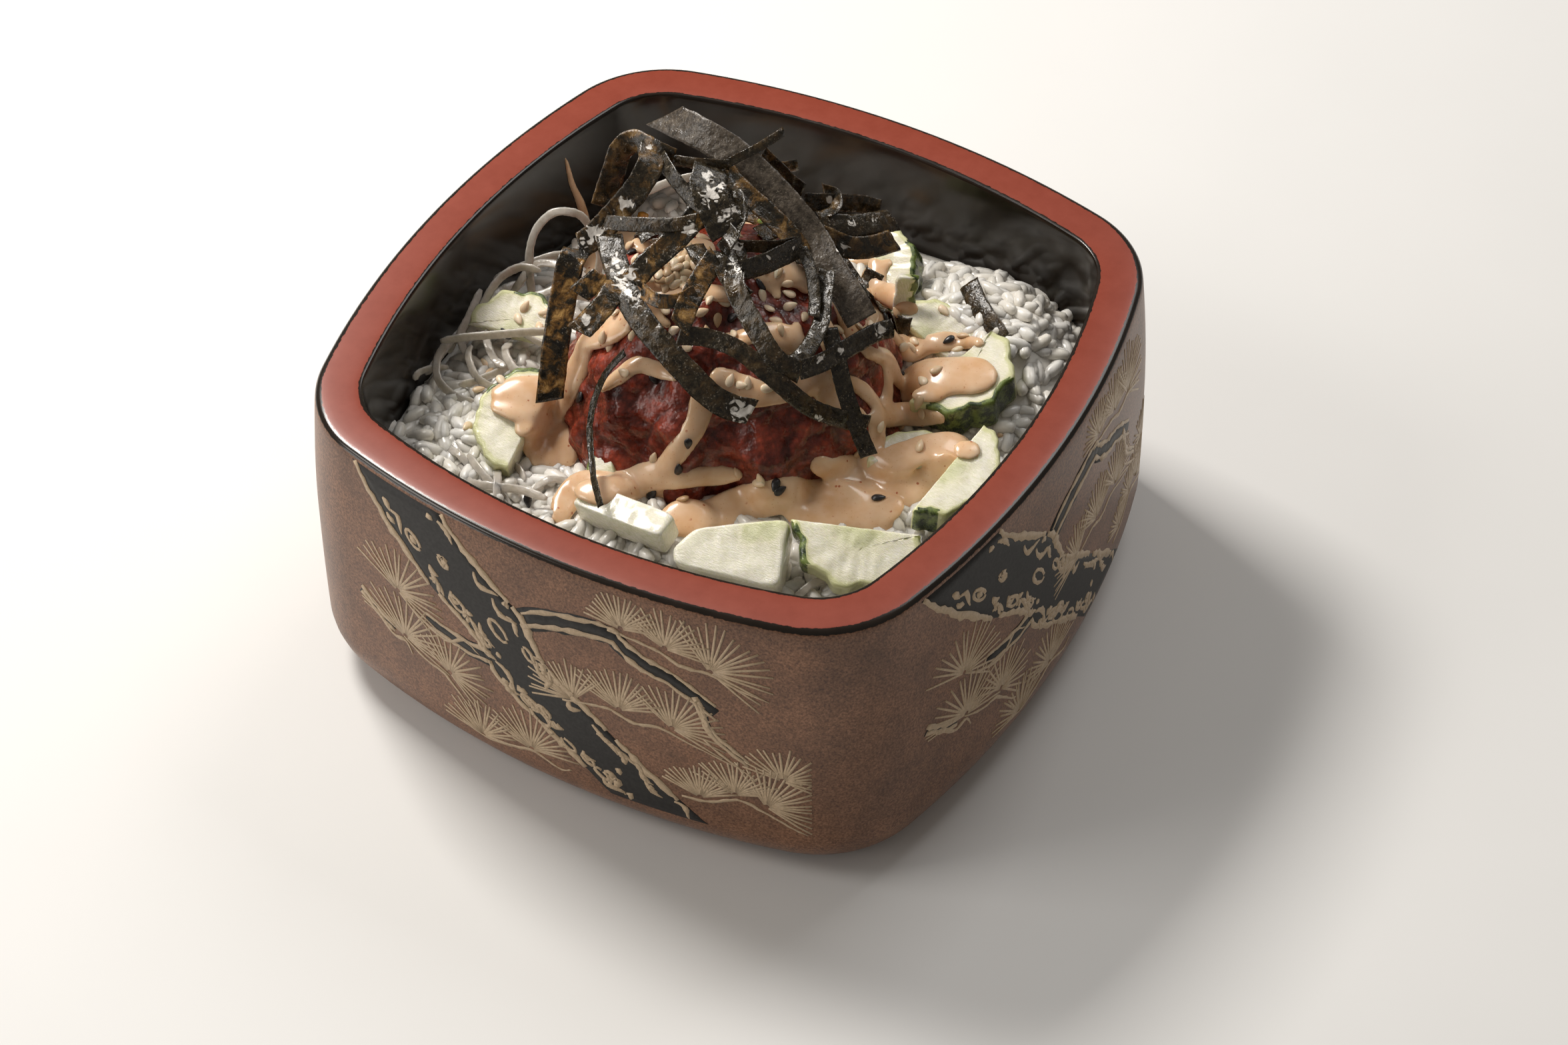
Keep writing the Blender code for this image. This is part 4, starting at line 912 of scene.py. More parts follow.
def cucumberShape(node, spec, seed):
    centre, radius, depth, thickness, face, peel = spec[:6]
    centre = np.array(centre, float)
    zAxis = Vector(face).normalized()
    yAxis = (Vector(peel) - zAxis * Vector(peel).dot(zAxis)).normalized()
    turn = np.array([yAxis.cross(zAxis), yAxis, zAxis])
    half, edge = thickness / 2, cucumber["edge"]
    if node in cucumber["blocks"]:
        outline, onPeel = cutBlock(cucumber["blocks"][node], centre, turn)
        centre = centre - turn[2] * half
        hub = outline.mean(0)
    else:
        outline, onPeel = halfMoon(spec, seed)
        hub = np.array([0.0, -0.05 * depth])
    inset = 1.2 * edge / radius
    bevel = []              # outline scale, height and bend of the softened edge
    for bend in (0.3, 0.6, 1.0):
        angle = bend * 1.57
        bevel.append((1 - inset * (1 - math.sin(angle)), half - edge * 0.8 * (1 - math.cos(angle)), bend))
    # outline scale, height and how much skin, from the middle of the back round to the middle of the face
    layers = [(scale * (1 - inset), -half, 0.0) for scale in cucumber["rings"][::-1]]
    layers += [(scale, -height, bend) for scale, height, bend in bevel]
    layers += [(1.0, share * (half - edge * 0.8), 1.0) for share in np.linspace(-1, 1, 6)[1:-1]]
    layers += [(scale, height, min(1, bend * 2.2)) for scale, height, bend in bevel[::-1]]
    layers += [(scale * (1 - inset), half, max(0.0, 1 - (1 - scale) * 11)) for scale in cucumber["rings"]]
    verts, skins, depths = [], [], []
    for scale, height, skin in layers:
        ring = hub + (outline - hub) * scale
        fromPeel = np.clip(1 - np.hypot(ring[:, 0] / radius, (ring[:, 1] + 0.42 * depth) / depth), 0, 1)
        if node in cucumber["blocks"]:
            spots = (np.column_stack([ring, np.full(len(ring), height)]) @ turn + centre) * mm
            fromPeel = 0.30 + 0.6 * nearSpots(spots, cucumber["jelly"])
        depths.append(fromPeel)
        skins.append(onPeel * skin)
        verts.append(np.column_stack([ring, np.full(len(ring), height)]))
    verts = np.concatenate(verts)
    depths = np.concatenate(depths)
    for i, point in enumerate(verts):        # seed hollows, knife ripples and a soft unevenness
        p = Vector(point) + Vector((seed * 7.3, 0, 0))
        cells, _ = noise.voronoi(Vector((p.x, p.y * 0.6, 0)) / 2.4)
        hollow = 0.75 * max(0.0, depths[i] - 0.5) * (0.9 - cells[0] * 1.6)
        push = 0.25 * noise.noise(p / 3.2) + 0.06 * math.sin(p.x * 2.6 + 1.5 * noise.noise(p / 4.0))
        side = 1 if point[2] > 0 else -1
        if abs(point[2]) > half - edge:
            verts[i, 2] += side * (push + hollow)
        else:
            verts[i, :2] *= 1 + 0.02 * noise.noise(p / 2.5)
    verts = (verts @ turn + centre) * mm
    return verts, tubeFaces(len(layers), len(outline)), np.concatenate(skins), depths


def addCucumbers():
    material = cucumberFinish()
    pieces = []
    for seed, (node, spec) in enumerate(cucumber["pieces"].items()):
        heap = newHeap()
        verts, faces, skins, depths = cucumberShape(node, spec, seed)
        addShape(heap, verts, faces, skin=skins, depth=depths)
        words = node.split("_")
        name = words[0] + "".join(word.capitalize() for word in words[1:])
        pieces.append(addPiece(name, heap, material, [node]))
    centre, size, turn = cucumber["sliver"]
    heap = newHeap()
    column = np.linspace(-0.5, 0.5, 16)
    corners = np.linspace(0, 2 * math.pi, 20, endpoint=False)
    square = np.stack([np.cos(corners), np.sin(corners)], -1)
    square = np.sign(square) * np.abs(square)**0.45 * 0.5
    rings = [np.column_stack([square * size[:2], np.full(20, z * size[2])]) for z in column]
    verts = np.concatenate(rings)
    verts[:, 0] += [0.5 * noise.noise(Vector(v) / 2.2) for v in verts]
    turned = Matrix.Identity(3)
    for axis, degrees in zip("XYZ", turn):
        turned = Matrix.Rotation(math.radians(degrees), 3, axis) @ turned
    skins = (verts[:, 0] > 1.2).astype(float)
    verts = (verts @ np.array(turned).T + np.array(centre)) * mm
    addShape(heap, verts, tubeFaces(16, 20), skin=skins, depth=0.35)
    pieces.append(addPiece("cucumberSliver", heap, material, ["cucumber_sliver"]))
    return pieces


# shredded daikon
daikon = {
    "width": 1.85,
    "height": 0.55,
    "cores": {              # node: centre and half sizes of the tangled middle
        "daikon_left": ((-52, -6, 49.0), (11.5, 25.0, 6.0)),
        "daikon_front": ((-29, -47, 48.5), (9.0, 4.5, 4.0)),
        "daikon_corner": ((41, -48, 47.0), (8.0, 4.5, 3.6)),
    },
    "daikon_left": [
        [(-54, 5, 51), (-55, 6, 56), (-56, 8, 62), (-56, 11, 66), (-54, 14, 69), (-51, 16, 69.5), (-48, 18, 67),
         (-44, 17, 60), (-44, 14, 52)],
        [(-61, 1, 56.5), (-60, 3, 57.5), (-57, 8, 58), (-52, 13, 59), (-46, 15, 59)],
        [(-61, -4, 58.5), (-60, -10, 56.5), (-60, -14, 54), (-58, -16, 51)],
        [(-61, -20, 56.5), (-56, -17, 57.5), (-50, -14, 58.5), (-44, -11, 59.5), (-38, -8, 60)],
        [(-60, -18, 56), (-60, -23, 54), (-57, -27, 52.5), (-52, -28, 51), (-48, -27, 50.5)],
        [(-57, -15, 53), (-54, -20, 55), (-50, -23, 53.5), (-46, -22, 51)],
        [(-50, -10, 53), (-48, -15, 55.5), (-44, -18, 55), (-40, -18, 54)],
        [(-58, 2, 53), (-55, 8, 58.5), (-49, 9.5, 60), (-43, 10, 59)],
        [(-58, -12, 53), (-59, -6, 57), (-59, 0, 59), (-57, 5, 59.5), (-52, 6, 60)],
        [(-59, -15, 52), (-58, -10, 55.5), (-56, -6, 56.5), (-54, -2, 54)],
        [(-46, 14, 57), (-49, 6, 56), (-55, 1, 54), (-60, -2, 52)],
        [(-35, 15, 80), (-31, 14, 84), (-25, 17, 88), (-17, 22, 90)],
    ],
    "daikon_front": [
        [(-40, -42, 52), (-35, -45, 52.5), (-30, -47, 51.5), (-25, -49, 50.5)],
        [(-41, -44, 50.5), (-36, -48, 51.5), (-30, -48, 53), (-24, -46, 53), (-18, -46, 53.5)],
        [(-33, -42, 51), (-30, -46, 53.5), (-27, -51, 52), (-24, -54, 50.5)],
    ],
    "daikon_corner": [
        [(31, -50, 49.5), (37, -47, 51.5), (43, -46, 51), (48, -49, 49)],
        [(34, -53, 49), (39, -51, 50.5), (45, -49, 50), (50, -45, 49)],
    ],
    "tangle": {"daikon_left": 10, "daikon_front": 5, "daikon_corner": 4},      # extra shreds lying in the heap
    "seed": 11,
    "colour": (0.74, 0.665, 0.585),
}


def daikonFinish():
    material, tree, shader = newMaterial("shreddedDaikon", daikon["colour"], 0.22, Subsurface_Weight=0.6,
                                         Subsurface_Scale=0.003, Transmission_Weight=0.25, Coat_Weight=0.2)
    shader.inputs["Subsurface Radius"].default_value = (1.0, 0.9, 0.75)
    tone = rampNode(tree, noiseNode(tree, 1.6, 3.0), [(0.30, (0.52, 0.47, 0.40)), (0.70, daikon["colour"])])
    link(tree, tone, shader.inputs["Base Color"])
    bumpNode(tree, shader, noiseNode(tree, 0.7, 3.0), 0.4, 0.25)
    return material


def addShred(heap, points, width, height, tilt, rng):
    line = spline(points, 8 * len(points))
    _, sides, ups = lineFrames(line, tilt, cameraAxes()[2])
    around = np.linspace(0, 2 * math.pi, 8, endpoint=False) + math.pi / 8
    square = np.stack([np.cos(around), np.sin(around)], -1)
    square = np.sign(square) * np.abs(square)**0.6
    rows = len(line)
    ends = np.clip(np.minimum(np.arange(rows), np.arange(rows)[::-1]) / 3.0, 0, 1)
    grow = (0.45 + 0.55 * ends) * np.array([1 + rng.uniform(-0.07, 0.07) for _ in range(rows)])
    half = np.array([width, height]) / 2 * mm * square
    rings = (line[:, None] + sides[:, None] * half[None, :, :1] * grow[:, None, None]
             + ups[:, None] * half[None, :, 1:] * grow[:, None, None])
    addShape(heap, rings, tubeFaces(rows, 8))


def addDaikon():
    material = daikonFinish()
    rng = random.Random(daikon["seed"])
    for node, (centre, size) in daikon["cores"].items():
        heap = newHeap()
        for points in daikon[node]:
            addShred(heap, points, daikon["width"], daikon["height"], rng.uniform(-35, 35), rng)
        for _ in range(daikon["tangle"][node]):
            angle, out = rng.uniform(0, 6.3), math.sqrt(rng.random()) * 0.85
            x, y = centre[0] + size[0] * out * math.cos(angle), centre[1] + size[1] * out * math.sin(angle)
            heading, bend = rng.uniform(0, 6.3), rng.uniform(-0.09, 0.09)
            route = []
            for step in range(5):
                heading += bend * 3.4
                x, y = x + 3.4 * math.cos(heading), y + 3.4 * math.sin(heading)
                x, y = max(-61.5, min(61.5, x)), max(-60.5, min(60.5, y))
                crown = size[2] * (1 - out**2) * 0.8
                route.append((x, y, centre[2] + crown + rng.uniform(-0.6, 0.9) + (0.5 if step in (0, 4) else 1.2)))
            addShred(heap, route, daikon["width"] * rng.uniform(0.8, 1.0), daikon["height"], rng.uniform(-40, 40), rng)
        name = "daikon" + node.split("_")[1].capitalize()
        addPiece(name, heap, material, [node])


# nori shreds: width, turn from facing the camera, amber share (below 0 a grey strip: dust and painted sheen), crumple,
# route as pixels and height
nori = {
    "strips": [
        (6.7, 8, -0.6, 0.10, [(998, 174, 101), (1048, 199, 102), (1098, 230, 100.5), (1144, 270, 97), (1186, 316, 93),
                              (1216, 354, 89),
                             (1243, 400, 86), (1274, 446, 83), (1293, 481, 80)]),
        (5.2, 25, 0.4, 0.30, [(904, 310, 90), (912, 285, 92), (922, 255, 96), (931, 228, 99.5), (948, 213, 101.5),
                              (968, 220, 102), (990, 232, 101.5), (1010, 241, 100.5)]),
        (5.4, -5, 0.3, 0.35, [(979, 222, 102), (973, 251, 101), (956, 282, 98), (937, 305, 95), (914, 331, 92),
                              (891, 354, 89.5), (868, 371, 87.5)]),
        (5.6, 0, 1.25, 0.15, [(866, 374, 87), (856, 395, 86), (850, 422, 83), (843, 458, 79), (836, 502, 74),
                              (830, 552, 68), (824, 602, 62)]),
        (5.3, 5, 0.1, 0.35, [(914, 352, 91), (920, 385, 90), (933, 423, 88.5), (948, 458, 87), (971, 492, 85),
                             (998, 523, 83), (1029, 557, 80), (1062, 590, 76.5), (1095, 610, 74), (1128, 618, 72.5)]),
        (3.2, 30, 0.0, 0.25, [(990, 234, 101.5), (1010, 266, 100.5), (1029, 289, 99), (1044, 312, 97.5),
                              (1060, 340, 95)]),
        (7.6, -10, 0.0, 0.55, [(1068, 252, 101.5), (1061, 282, 101), (1071, 308, 99), (1084, 336, 96.5),
                               (1092, 350, 95)]),
        (4.2, 20, 0.0, 0.50, [(1100, 285, 98.5), (1108, 318, 97), (1098, 343, 95.5), (1088, 362, 94)]),
        (4.4, 15, 0.1, 0.35, [(1086, 354, 94), (1105, 385, 92), (1102, 423, 91), (1113, 454, 89.5), (1136, 496, 87),
                              (1163, 538, 83.5), (1200, 560, 80)]),
        (4.5, -20, 0.5, 0.20, [(1086, 255, 99), (1113, 285, 97), (1147, 316, 94), (1186, 356, 90), (1205, 385, 87)]),
        (3.0, 10, 0.1, 0.20, [(906, 333, 93), (952, 337, 95), (1010, 337, 97), (1044, 331, 98)]),
        (5.0, 5, 0.5, 0.30, [(1048, 320, 97.5), (1029, 343, 95.5), (998, 373, 93), (968, 400, 91), (948, 423, 89)]),
        (4.6, -10, 0.7, 0.20, [(1075, 385, 93), (1052, 419, 91.5), (1033, 454, 90), (1019, 492, 87.5)]),
        (3.0, 20, 1.0, 0.20, [(964, 435, 89), (987, 450, 89.5), (1017, 450, 90), (1044, 438, 91)]),
        (4.6, 0, 0.8, 0.30, [(868, 442, 85), (886, 428, 86.5), (906, 412, 88)]),
        (5.0, 10, 0.5, 0.35, [(929, 423, 88), (906, 458, 86.5), (883, 484, 84), (868, 498, 82.5)]),
        (4.6, 30, 0.0, 0.30, [(1112, 406, 92), (1147, 396, 92), (1178, 381, 91.5), (1203, 368, 91)]),
        (3.0, 40, 0.1, 0.25, [(1110, 366, 94), (1163, 367, 93), (1197, 362, 92)]),
        (2.6, 20, 0.0, 0.25, [(1201, 370, 91), (1216, 404, 88.5), (1222, 446, 85.5), (1220, 475, 84)]),
        (3.6, 15, 0.0, 0.30, [(1242, 405, 87), (1236, 446, 85), (1232, 484, 83), (1212, 523, 81.5), (1187, 548, 80.5)]),
        (3.9, 10, 0.0, 0.35, [(1197, 556, 80), (1232, 544, 79), (1274, 521, 76), (1312, 500, 73.5), (1340, 492, 72)]),
        (3.8, 10, 0.1, 0.30, [(1017, 503, 85.5), (1063, 507, 85), (1105, 523, 84), (1140, 550, 81.5), (1175, 580, 78),
                              (1213, 610, 73), (1259, 628, 68.5), (1302, 637, 64.5)]),
        (3.6, -10, 0.0, 0.30, [(1243, 492, 81), (1256, 540, 77), (1268, 590, 72), (1285, 640, 66), (1303, 684, 61)]),
        (3.8, 20, 0.25, 0.25, [(1205, 302, 88), (1258, 303, 86), (1293, 306, 84), (1320, 313, 82.5)]),
        (4.8, -5, 0.1, 0.45, [(1230, 335, 86.5), (1274, 339, 85), (1312, 335, 83.5), (1341, 330, 82)]),
        (4.8, 15, 0.35, 0.40, [(1236, 356, 85), (1274, 371, 83), (1308, 370, 81.5), (1341, 360, 80)]),
        (2.6, 30, 0.2, 0.35, [(1235, 283, 88.5), (1254, 292, 88), (1254, 312, 87.3), (1236, 326, 87)]),
        (1.8, 10, 0.1, 0.10, [(1082, 251, 100), (1109, 236, 101.5), (1140, 220, 102.5), (1176, 197, 103.5)]),
        (3.0, 25, 0.4, 0.30, [(1144, 228, 100.5), (1167, 251, 96.5), (1186, 270, 92), (1205, 286, 89)]),
        (2.4, 30, 0.1, 0.25, [(1010, 241, 100.5), (1048, 245, 101), (1094, 247, 100.5)]),
        (1.7, 40, 0.0, 0.20, [(938, 528, 79), (912, 558, 75), (896, 590, 70), (888, 630, 66), (887, 670, 63.5),
                              (892, 715, 62.5), (901, 760, 63)]),
    ],
    "shining": [            # pixels and reach of the patches that catch the light
        (1068, 290, 27), (1060, 264, 15), (1096, 318, 16), (1082, 326, 14), (938, 308, 17), (893, 351, 22),
        (876, 366, 14), (936, 420, 24), (946, 446, 20), (925, 396, 15), (1112, 615, 24), (1104, 398, 14),
        (1105, 372, 11), (1032, 345, 14), (968, 390, 8), (877, 482, 16), (1278, 335, 9), (1311, 330, 8),
        (1244, 300, 7), (975, 222, 9), (1232, 538, 12), (1320, 496, 12), (1262, 526, 7), (1155, 385, 6),
        (1190, 372, 5), (1262, 372, 10), (1130, 366, 6), (1228, 628, 8)],
    "shine": 1.6,
    "behind": [             # on the far side: width, turn, amber share, crumple, route and how far over the mound
        (4.6, 10, 0.2, 0.30, [(-1, 12, 3.5), (4, 22, 2.0), (8, 31, 1.2), (11, 40, 1.0)]),
        (5.0, -10, -0.3, 0.25, [(-13, 12, 3.5), (-18, 22, 1.6), (-21, 31, 1.2), (-22, 40, 1.0)]),
        (3.6, 20, 0.4, 0.30, [(-27, 8, 2.5), (-14, 20, 2.0), (-1, 24, 2.0), (12, 22, 1.6), (22, 15, 1.4)]),
        (4.2, 0, 0.1, 0.30, [(9, 8, 3.0), (16, 16, 1.4), (21, 24, 1.0), (23, 31, 1.0)]),
        (3.4, -15, 0.0, 0.30, [(-22, 4, 3.0), (-30, 12, 1.4), (-36, 18, 1.0), (-41, 23, 1.0)]),
    ],
    "heapCentre": (-8, 7, 90.5),
    "heapSize": (17.0, 13.0, 7.0),
    "heapStrips": 3,
    "thickness": 0.16,
    "step": 0.6,            # along a strip
    "columns": 11,          # points across a strip
    "clear": 0.7,           # kept above the mound
    "wave": (0.5, 11.0),    # height and length of the slow waves
    "crumple": 2.4,         # size of the creases
    "scrap": (4.5, 20, [(31, 45, 62), (35, 41, 61.5), (39, 38, 61), (44, 35, 59.5)]),
    "seed": 3,
    "ink": (0.0085, 0.0066, 0.0044),
    "olive": (0.030, 0.022, 0.011),
    "amber": (0.185, 0.092, 0.024),
    "bright": (0.56, 0.33, 0.110),
    # painted highlight: the colour of the patches that catch the light
    "pale": (0.86, 0.82, 0.76),
    "glint": (0.42, 0.36, 0.28),
}


def noriFinish():
    material, tree, shader = newMaterial("driedNori", nori["ink"], 0.25, Specular_IOR_Level=0.5)
    base = rampNode(tree, noiseNode(tree, 0.9, 6.0, 0.75), [
        (0.40, nori["ink"]), (0.52, nori["olive"]), (0.64, (0.055, 0.045, 0.030)), (0.78, nori["amber"])])
    # partly dust, partly painted sheen: a lighter grey-brown for strips whose amber share is below 0
    dustAndSheen = rampNode(tree, noiseNode(tree, 1.6, 6.0, 0.75), [
        (0.36, (0.034, 0.027, 0.021)), (0.50, (0.108, 0.087, 0.068)), (0.66, (0.225, 0.188, 0.148))])
    glow = rampNode(tree, noiseNode(tree, 3.0, 5.0, 0.62, distort=0.6), [
        (0.38, nori["ink"]), (0.47, nori["olive"]), (0.56, nori["amber"]), (0.68, nori["bright"])])
    share = valueNode(tree, "amber")
    colour = mixNode(tree, share, mixNode(tree, mathNode(tree, "MULTIPLY", share, -1.0), base, dustAndSheen), glow)
    # painted highlight: pale patches where the light catches the crinkled sheet, strongest round the shining spots
    blots = mathNode(tree, "MULTIPLY", noiseNode(tree, 2.2, 2.0, 0.45, distort=1.6), 4.0)
    paintedGlare = stepNode(tree, mathNode(tree, "ADD", blots, valueNode(tree, "shining")), 3.10, 3.55, (0.0, 0.97))
    glint = mathNode(tree, "MULTIPLY", stepNode(tree, noiseNode(tree, 0.45, 2.0, 0.6), 0.61, 0.66, (0.0, 0.35)),
                     stepNode(tree, noiseNode(tree, 3.5, 3.0), 0.48, 0.56))
    colour = mixNode(tree, glint, colour, nori["glint"])
    link(tree, mixNode(tree, paintedGlare, colour, nori["pale"]), shader.inputs["Base Color"])
    wet = rampNode(tree, noiseNode(tree, 1.8, 4.0), [(0.35, 0.10), (0.70, 0.34)])
    link(tree, wet, shader.inputs["Roughness"])
    cells = bumpNode(tree, shader, noiseNode(tree, 0.5, 3.0, 0.6), 0.6, 0.14)
    bumpNode(tree, shader, noiseNode(tree, 1.9, 4.0, 0.6), 0.6, 0.55, cells)
    return material


def noriSpot(tree, u, v, height):       # where a pixel's ray comes down to a height, or just over what it meets first
    eye, way = pixelRay(u, v)
    far = (height * mm - eye.z) / way.z
    met = tree.ray_cast(eye, way)
    if met[0] and met[3] - nori["clear"] * mm < far:
        far = met[3] - nori["clear"] * mm
    return tuple((eye + way * far) / mm)


def clearRows(surface, tree):       # rows that would dip into the mound come forward along the view, softly
    eye = Vector(shot["eye"]) * mm
    pull = np.zeros(len(surface))
    for i, row in enumerate(surface):
        for point in row:
            way = Vector(point) - eye
            met = tree.ray_cast(eye, way.normalized())
            if met[0]:
                pull[i] = max(pull[i], way.length - met[3] + nori["clear"] * mm * 0.6)
    wide = np.max([np.roll(np.pad(pull, 4), k)[4:-4] for k in range(-4, 5)], axis=0)
    for _ in range(6):
        wide[1:-1] = (wide[:-2] + 2 * wide[1:-1] + wide[2:]) / 4
    wide = np.maximum(wide, pull)
    ways = unit(surface - np.array(eye))
    surface -= ways * wide[:, None, None]


def addStrip(heap, points, width, tilt, amber, crumple, rng, tree=None, face=None):
    length = np.linalg.norm(np.diff(np.array(points, float), axis=0), axis=1).sum()
    rows, columns = max(12, int(length / nori["step"])), nori["columns"]
    line = spline(points, rows)
    ahead, sides, ups = lineFrames(line, tilt, face or cameraAxes()[2])
    across = np.linspace(-0.5, 0.5, columns)
    shift, slant = rng.uniform(0, 60), rng.uniform(-0.5, 0.5)
    fade = np.ones(rows)
    if amber < 0:           # a grey strip of dust and painted sheen is cut aslant at its start only
        slant, fade = -1.0, np.linspace(1, 0, rows)
    waveHeight, waveLength = nori["wave"]
    surface = np.zeros((rows, columns, 3))
    for i in range(rows):
        wave = waveHeight * noise.noise(Vector((i * nori["step"] / waveLength, shift, 0.5)))
        for j, share in enumerate(across):
            p = Vector((i * nori["step"], share * width * 0.7, shift)) / nori["crumple"]
            large, middle, small = noise.noise(p), noise.noise(p * 2.1), noise.noise(p * 4.3)
            crease = crumple * (1.6 * abs(large) + 0.9 * abs(middle) + 0.4 * small)
            curl = 0.35 * (share * 2)**2 * math.sin(i * 0.07 + shift)
            nick = 1 + 0.05 * noise.noise(Vector((i * 0.5, shift, share * 2)))
            aside = (sides[i] * nick + ahead[i] * slant * fade[i]) * share * width * mm
            surface[i, j] = line[i] + aside + ups[i] * (wave + crease + curl) * mm
    if tree:
        clearRows(surface, tree)
    tangent = unit(np.gradient(surface, axis=0))
    beside = unit(np.gradient(surface, axis=1))
    deep = unit(np.cross(beside, tangent)) * nori["thickness"] * mm / 2
    verts = np.concatenate([(surface + deep).reshape(-1, 3), (surface - deep).reshape(-1, 3)])
    shining = 0.0 if face else nori["shine"] * nearSpots(verts, nori["shining"])
    addShape(heap, verts, sheetFaces(rows, columns), shining=shining, amber=amber)


def addNori(under, around):
    material = noriFinish()
    rng = random.Random(nori["seed"])
    tree = treeOf(*under)
    heap = newHeap()
    for width, tilt, amber, crumple, route in nori["strips"]:
        points = [noriSpot(tree, u, v, height) for u, v, height in route]
        addStrip(heap, points, width, tilt, amber, crumple, rng, tree)
    wide = treeOf(*under, *around)
    for width, tilt, amber, crumple, route in nori["behind"]:
        points = []
        for x, y, over in spline(route, 14) / mm:
            below = wide.ray_cast(*fromAbove(x, y))[0]
            points.append((x, y, below.z / mm + over))
        addStrip(heap, points, width, tilt, amber, crumple, rng, face=(0, 0, 1))
    centre, size = nori["heapCentre"], nori["heapSize"]
    for _ in range(nori["heapStrips"]):
        angle, heading = rng.uniform(0, 6.3), rng.uniform(0, 6.3)
        x = centre[0] + size[0] * 0.5 * math.cos(angle)
        y = centre[1] + size[1] * 0.5 * math.sin(angle)
        z = centre[2] + rng.uniform(-4.0, 4.5)
        route = []
        for _ in range(5):
            route.append((x, y, z + rng.uniform(-1.6, 1.6)))
            heading += rng.uniform(-0.6, 0.6)
            x, y = x + 4.6 * math.cos(heading), y + 4.6 * math.sin(heading)
        addStrip(heap, route, rng.uniform(3.2, 5.4), rng.uniform(-60, 60), rng.choice([0.0, 0.2, 0.6]), 0.35, rng, tree)
    addPiece("noriShreds", heap, material, ["nori_shreds"])
    width, tilt, points = nori["scrap"]
    heap = newHeap()
    addStrip(heap, points, width, tilt, 0.1, 0.3, rng)
    addPiece("noriScrap", heap, material, ["nori_scrap"])


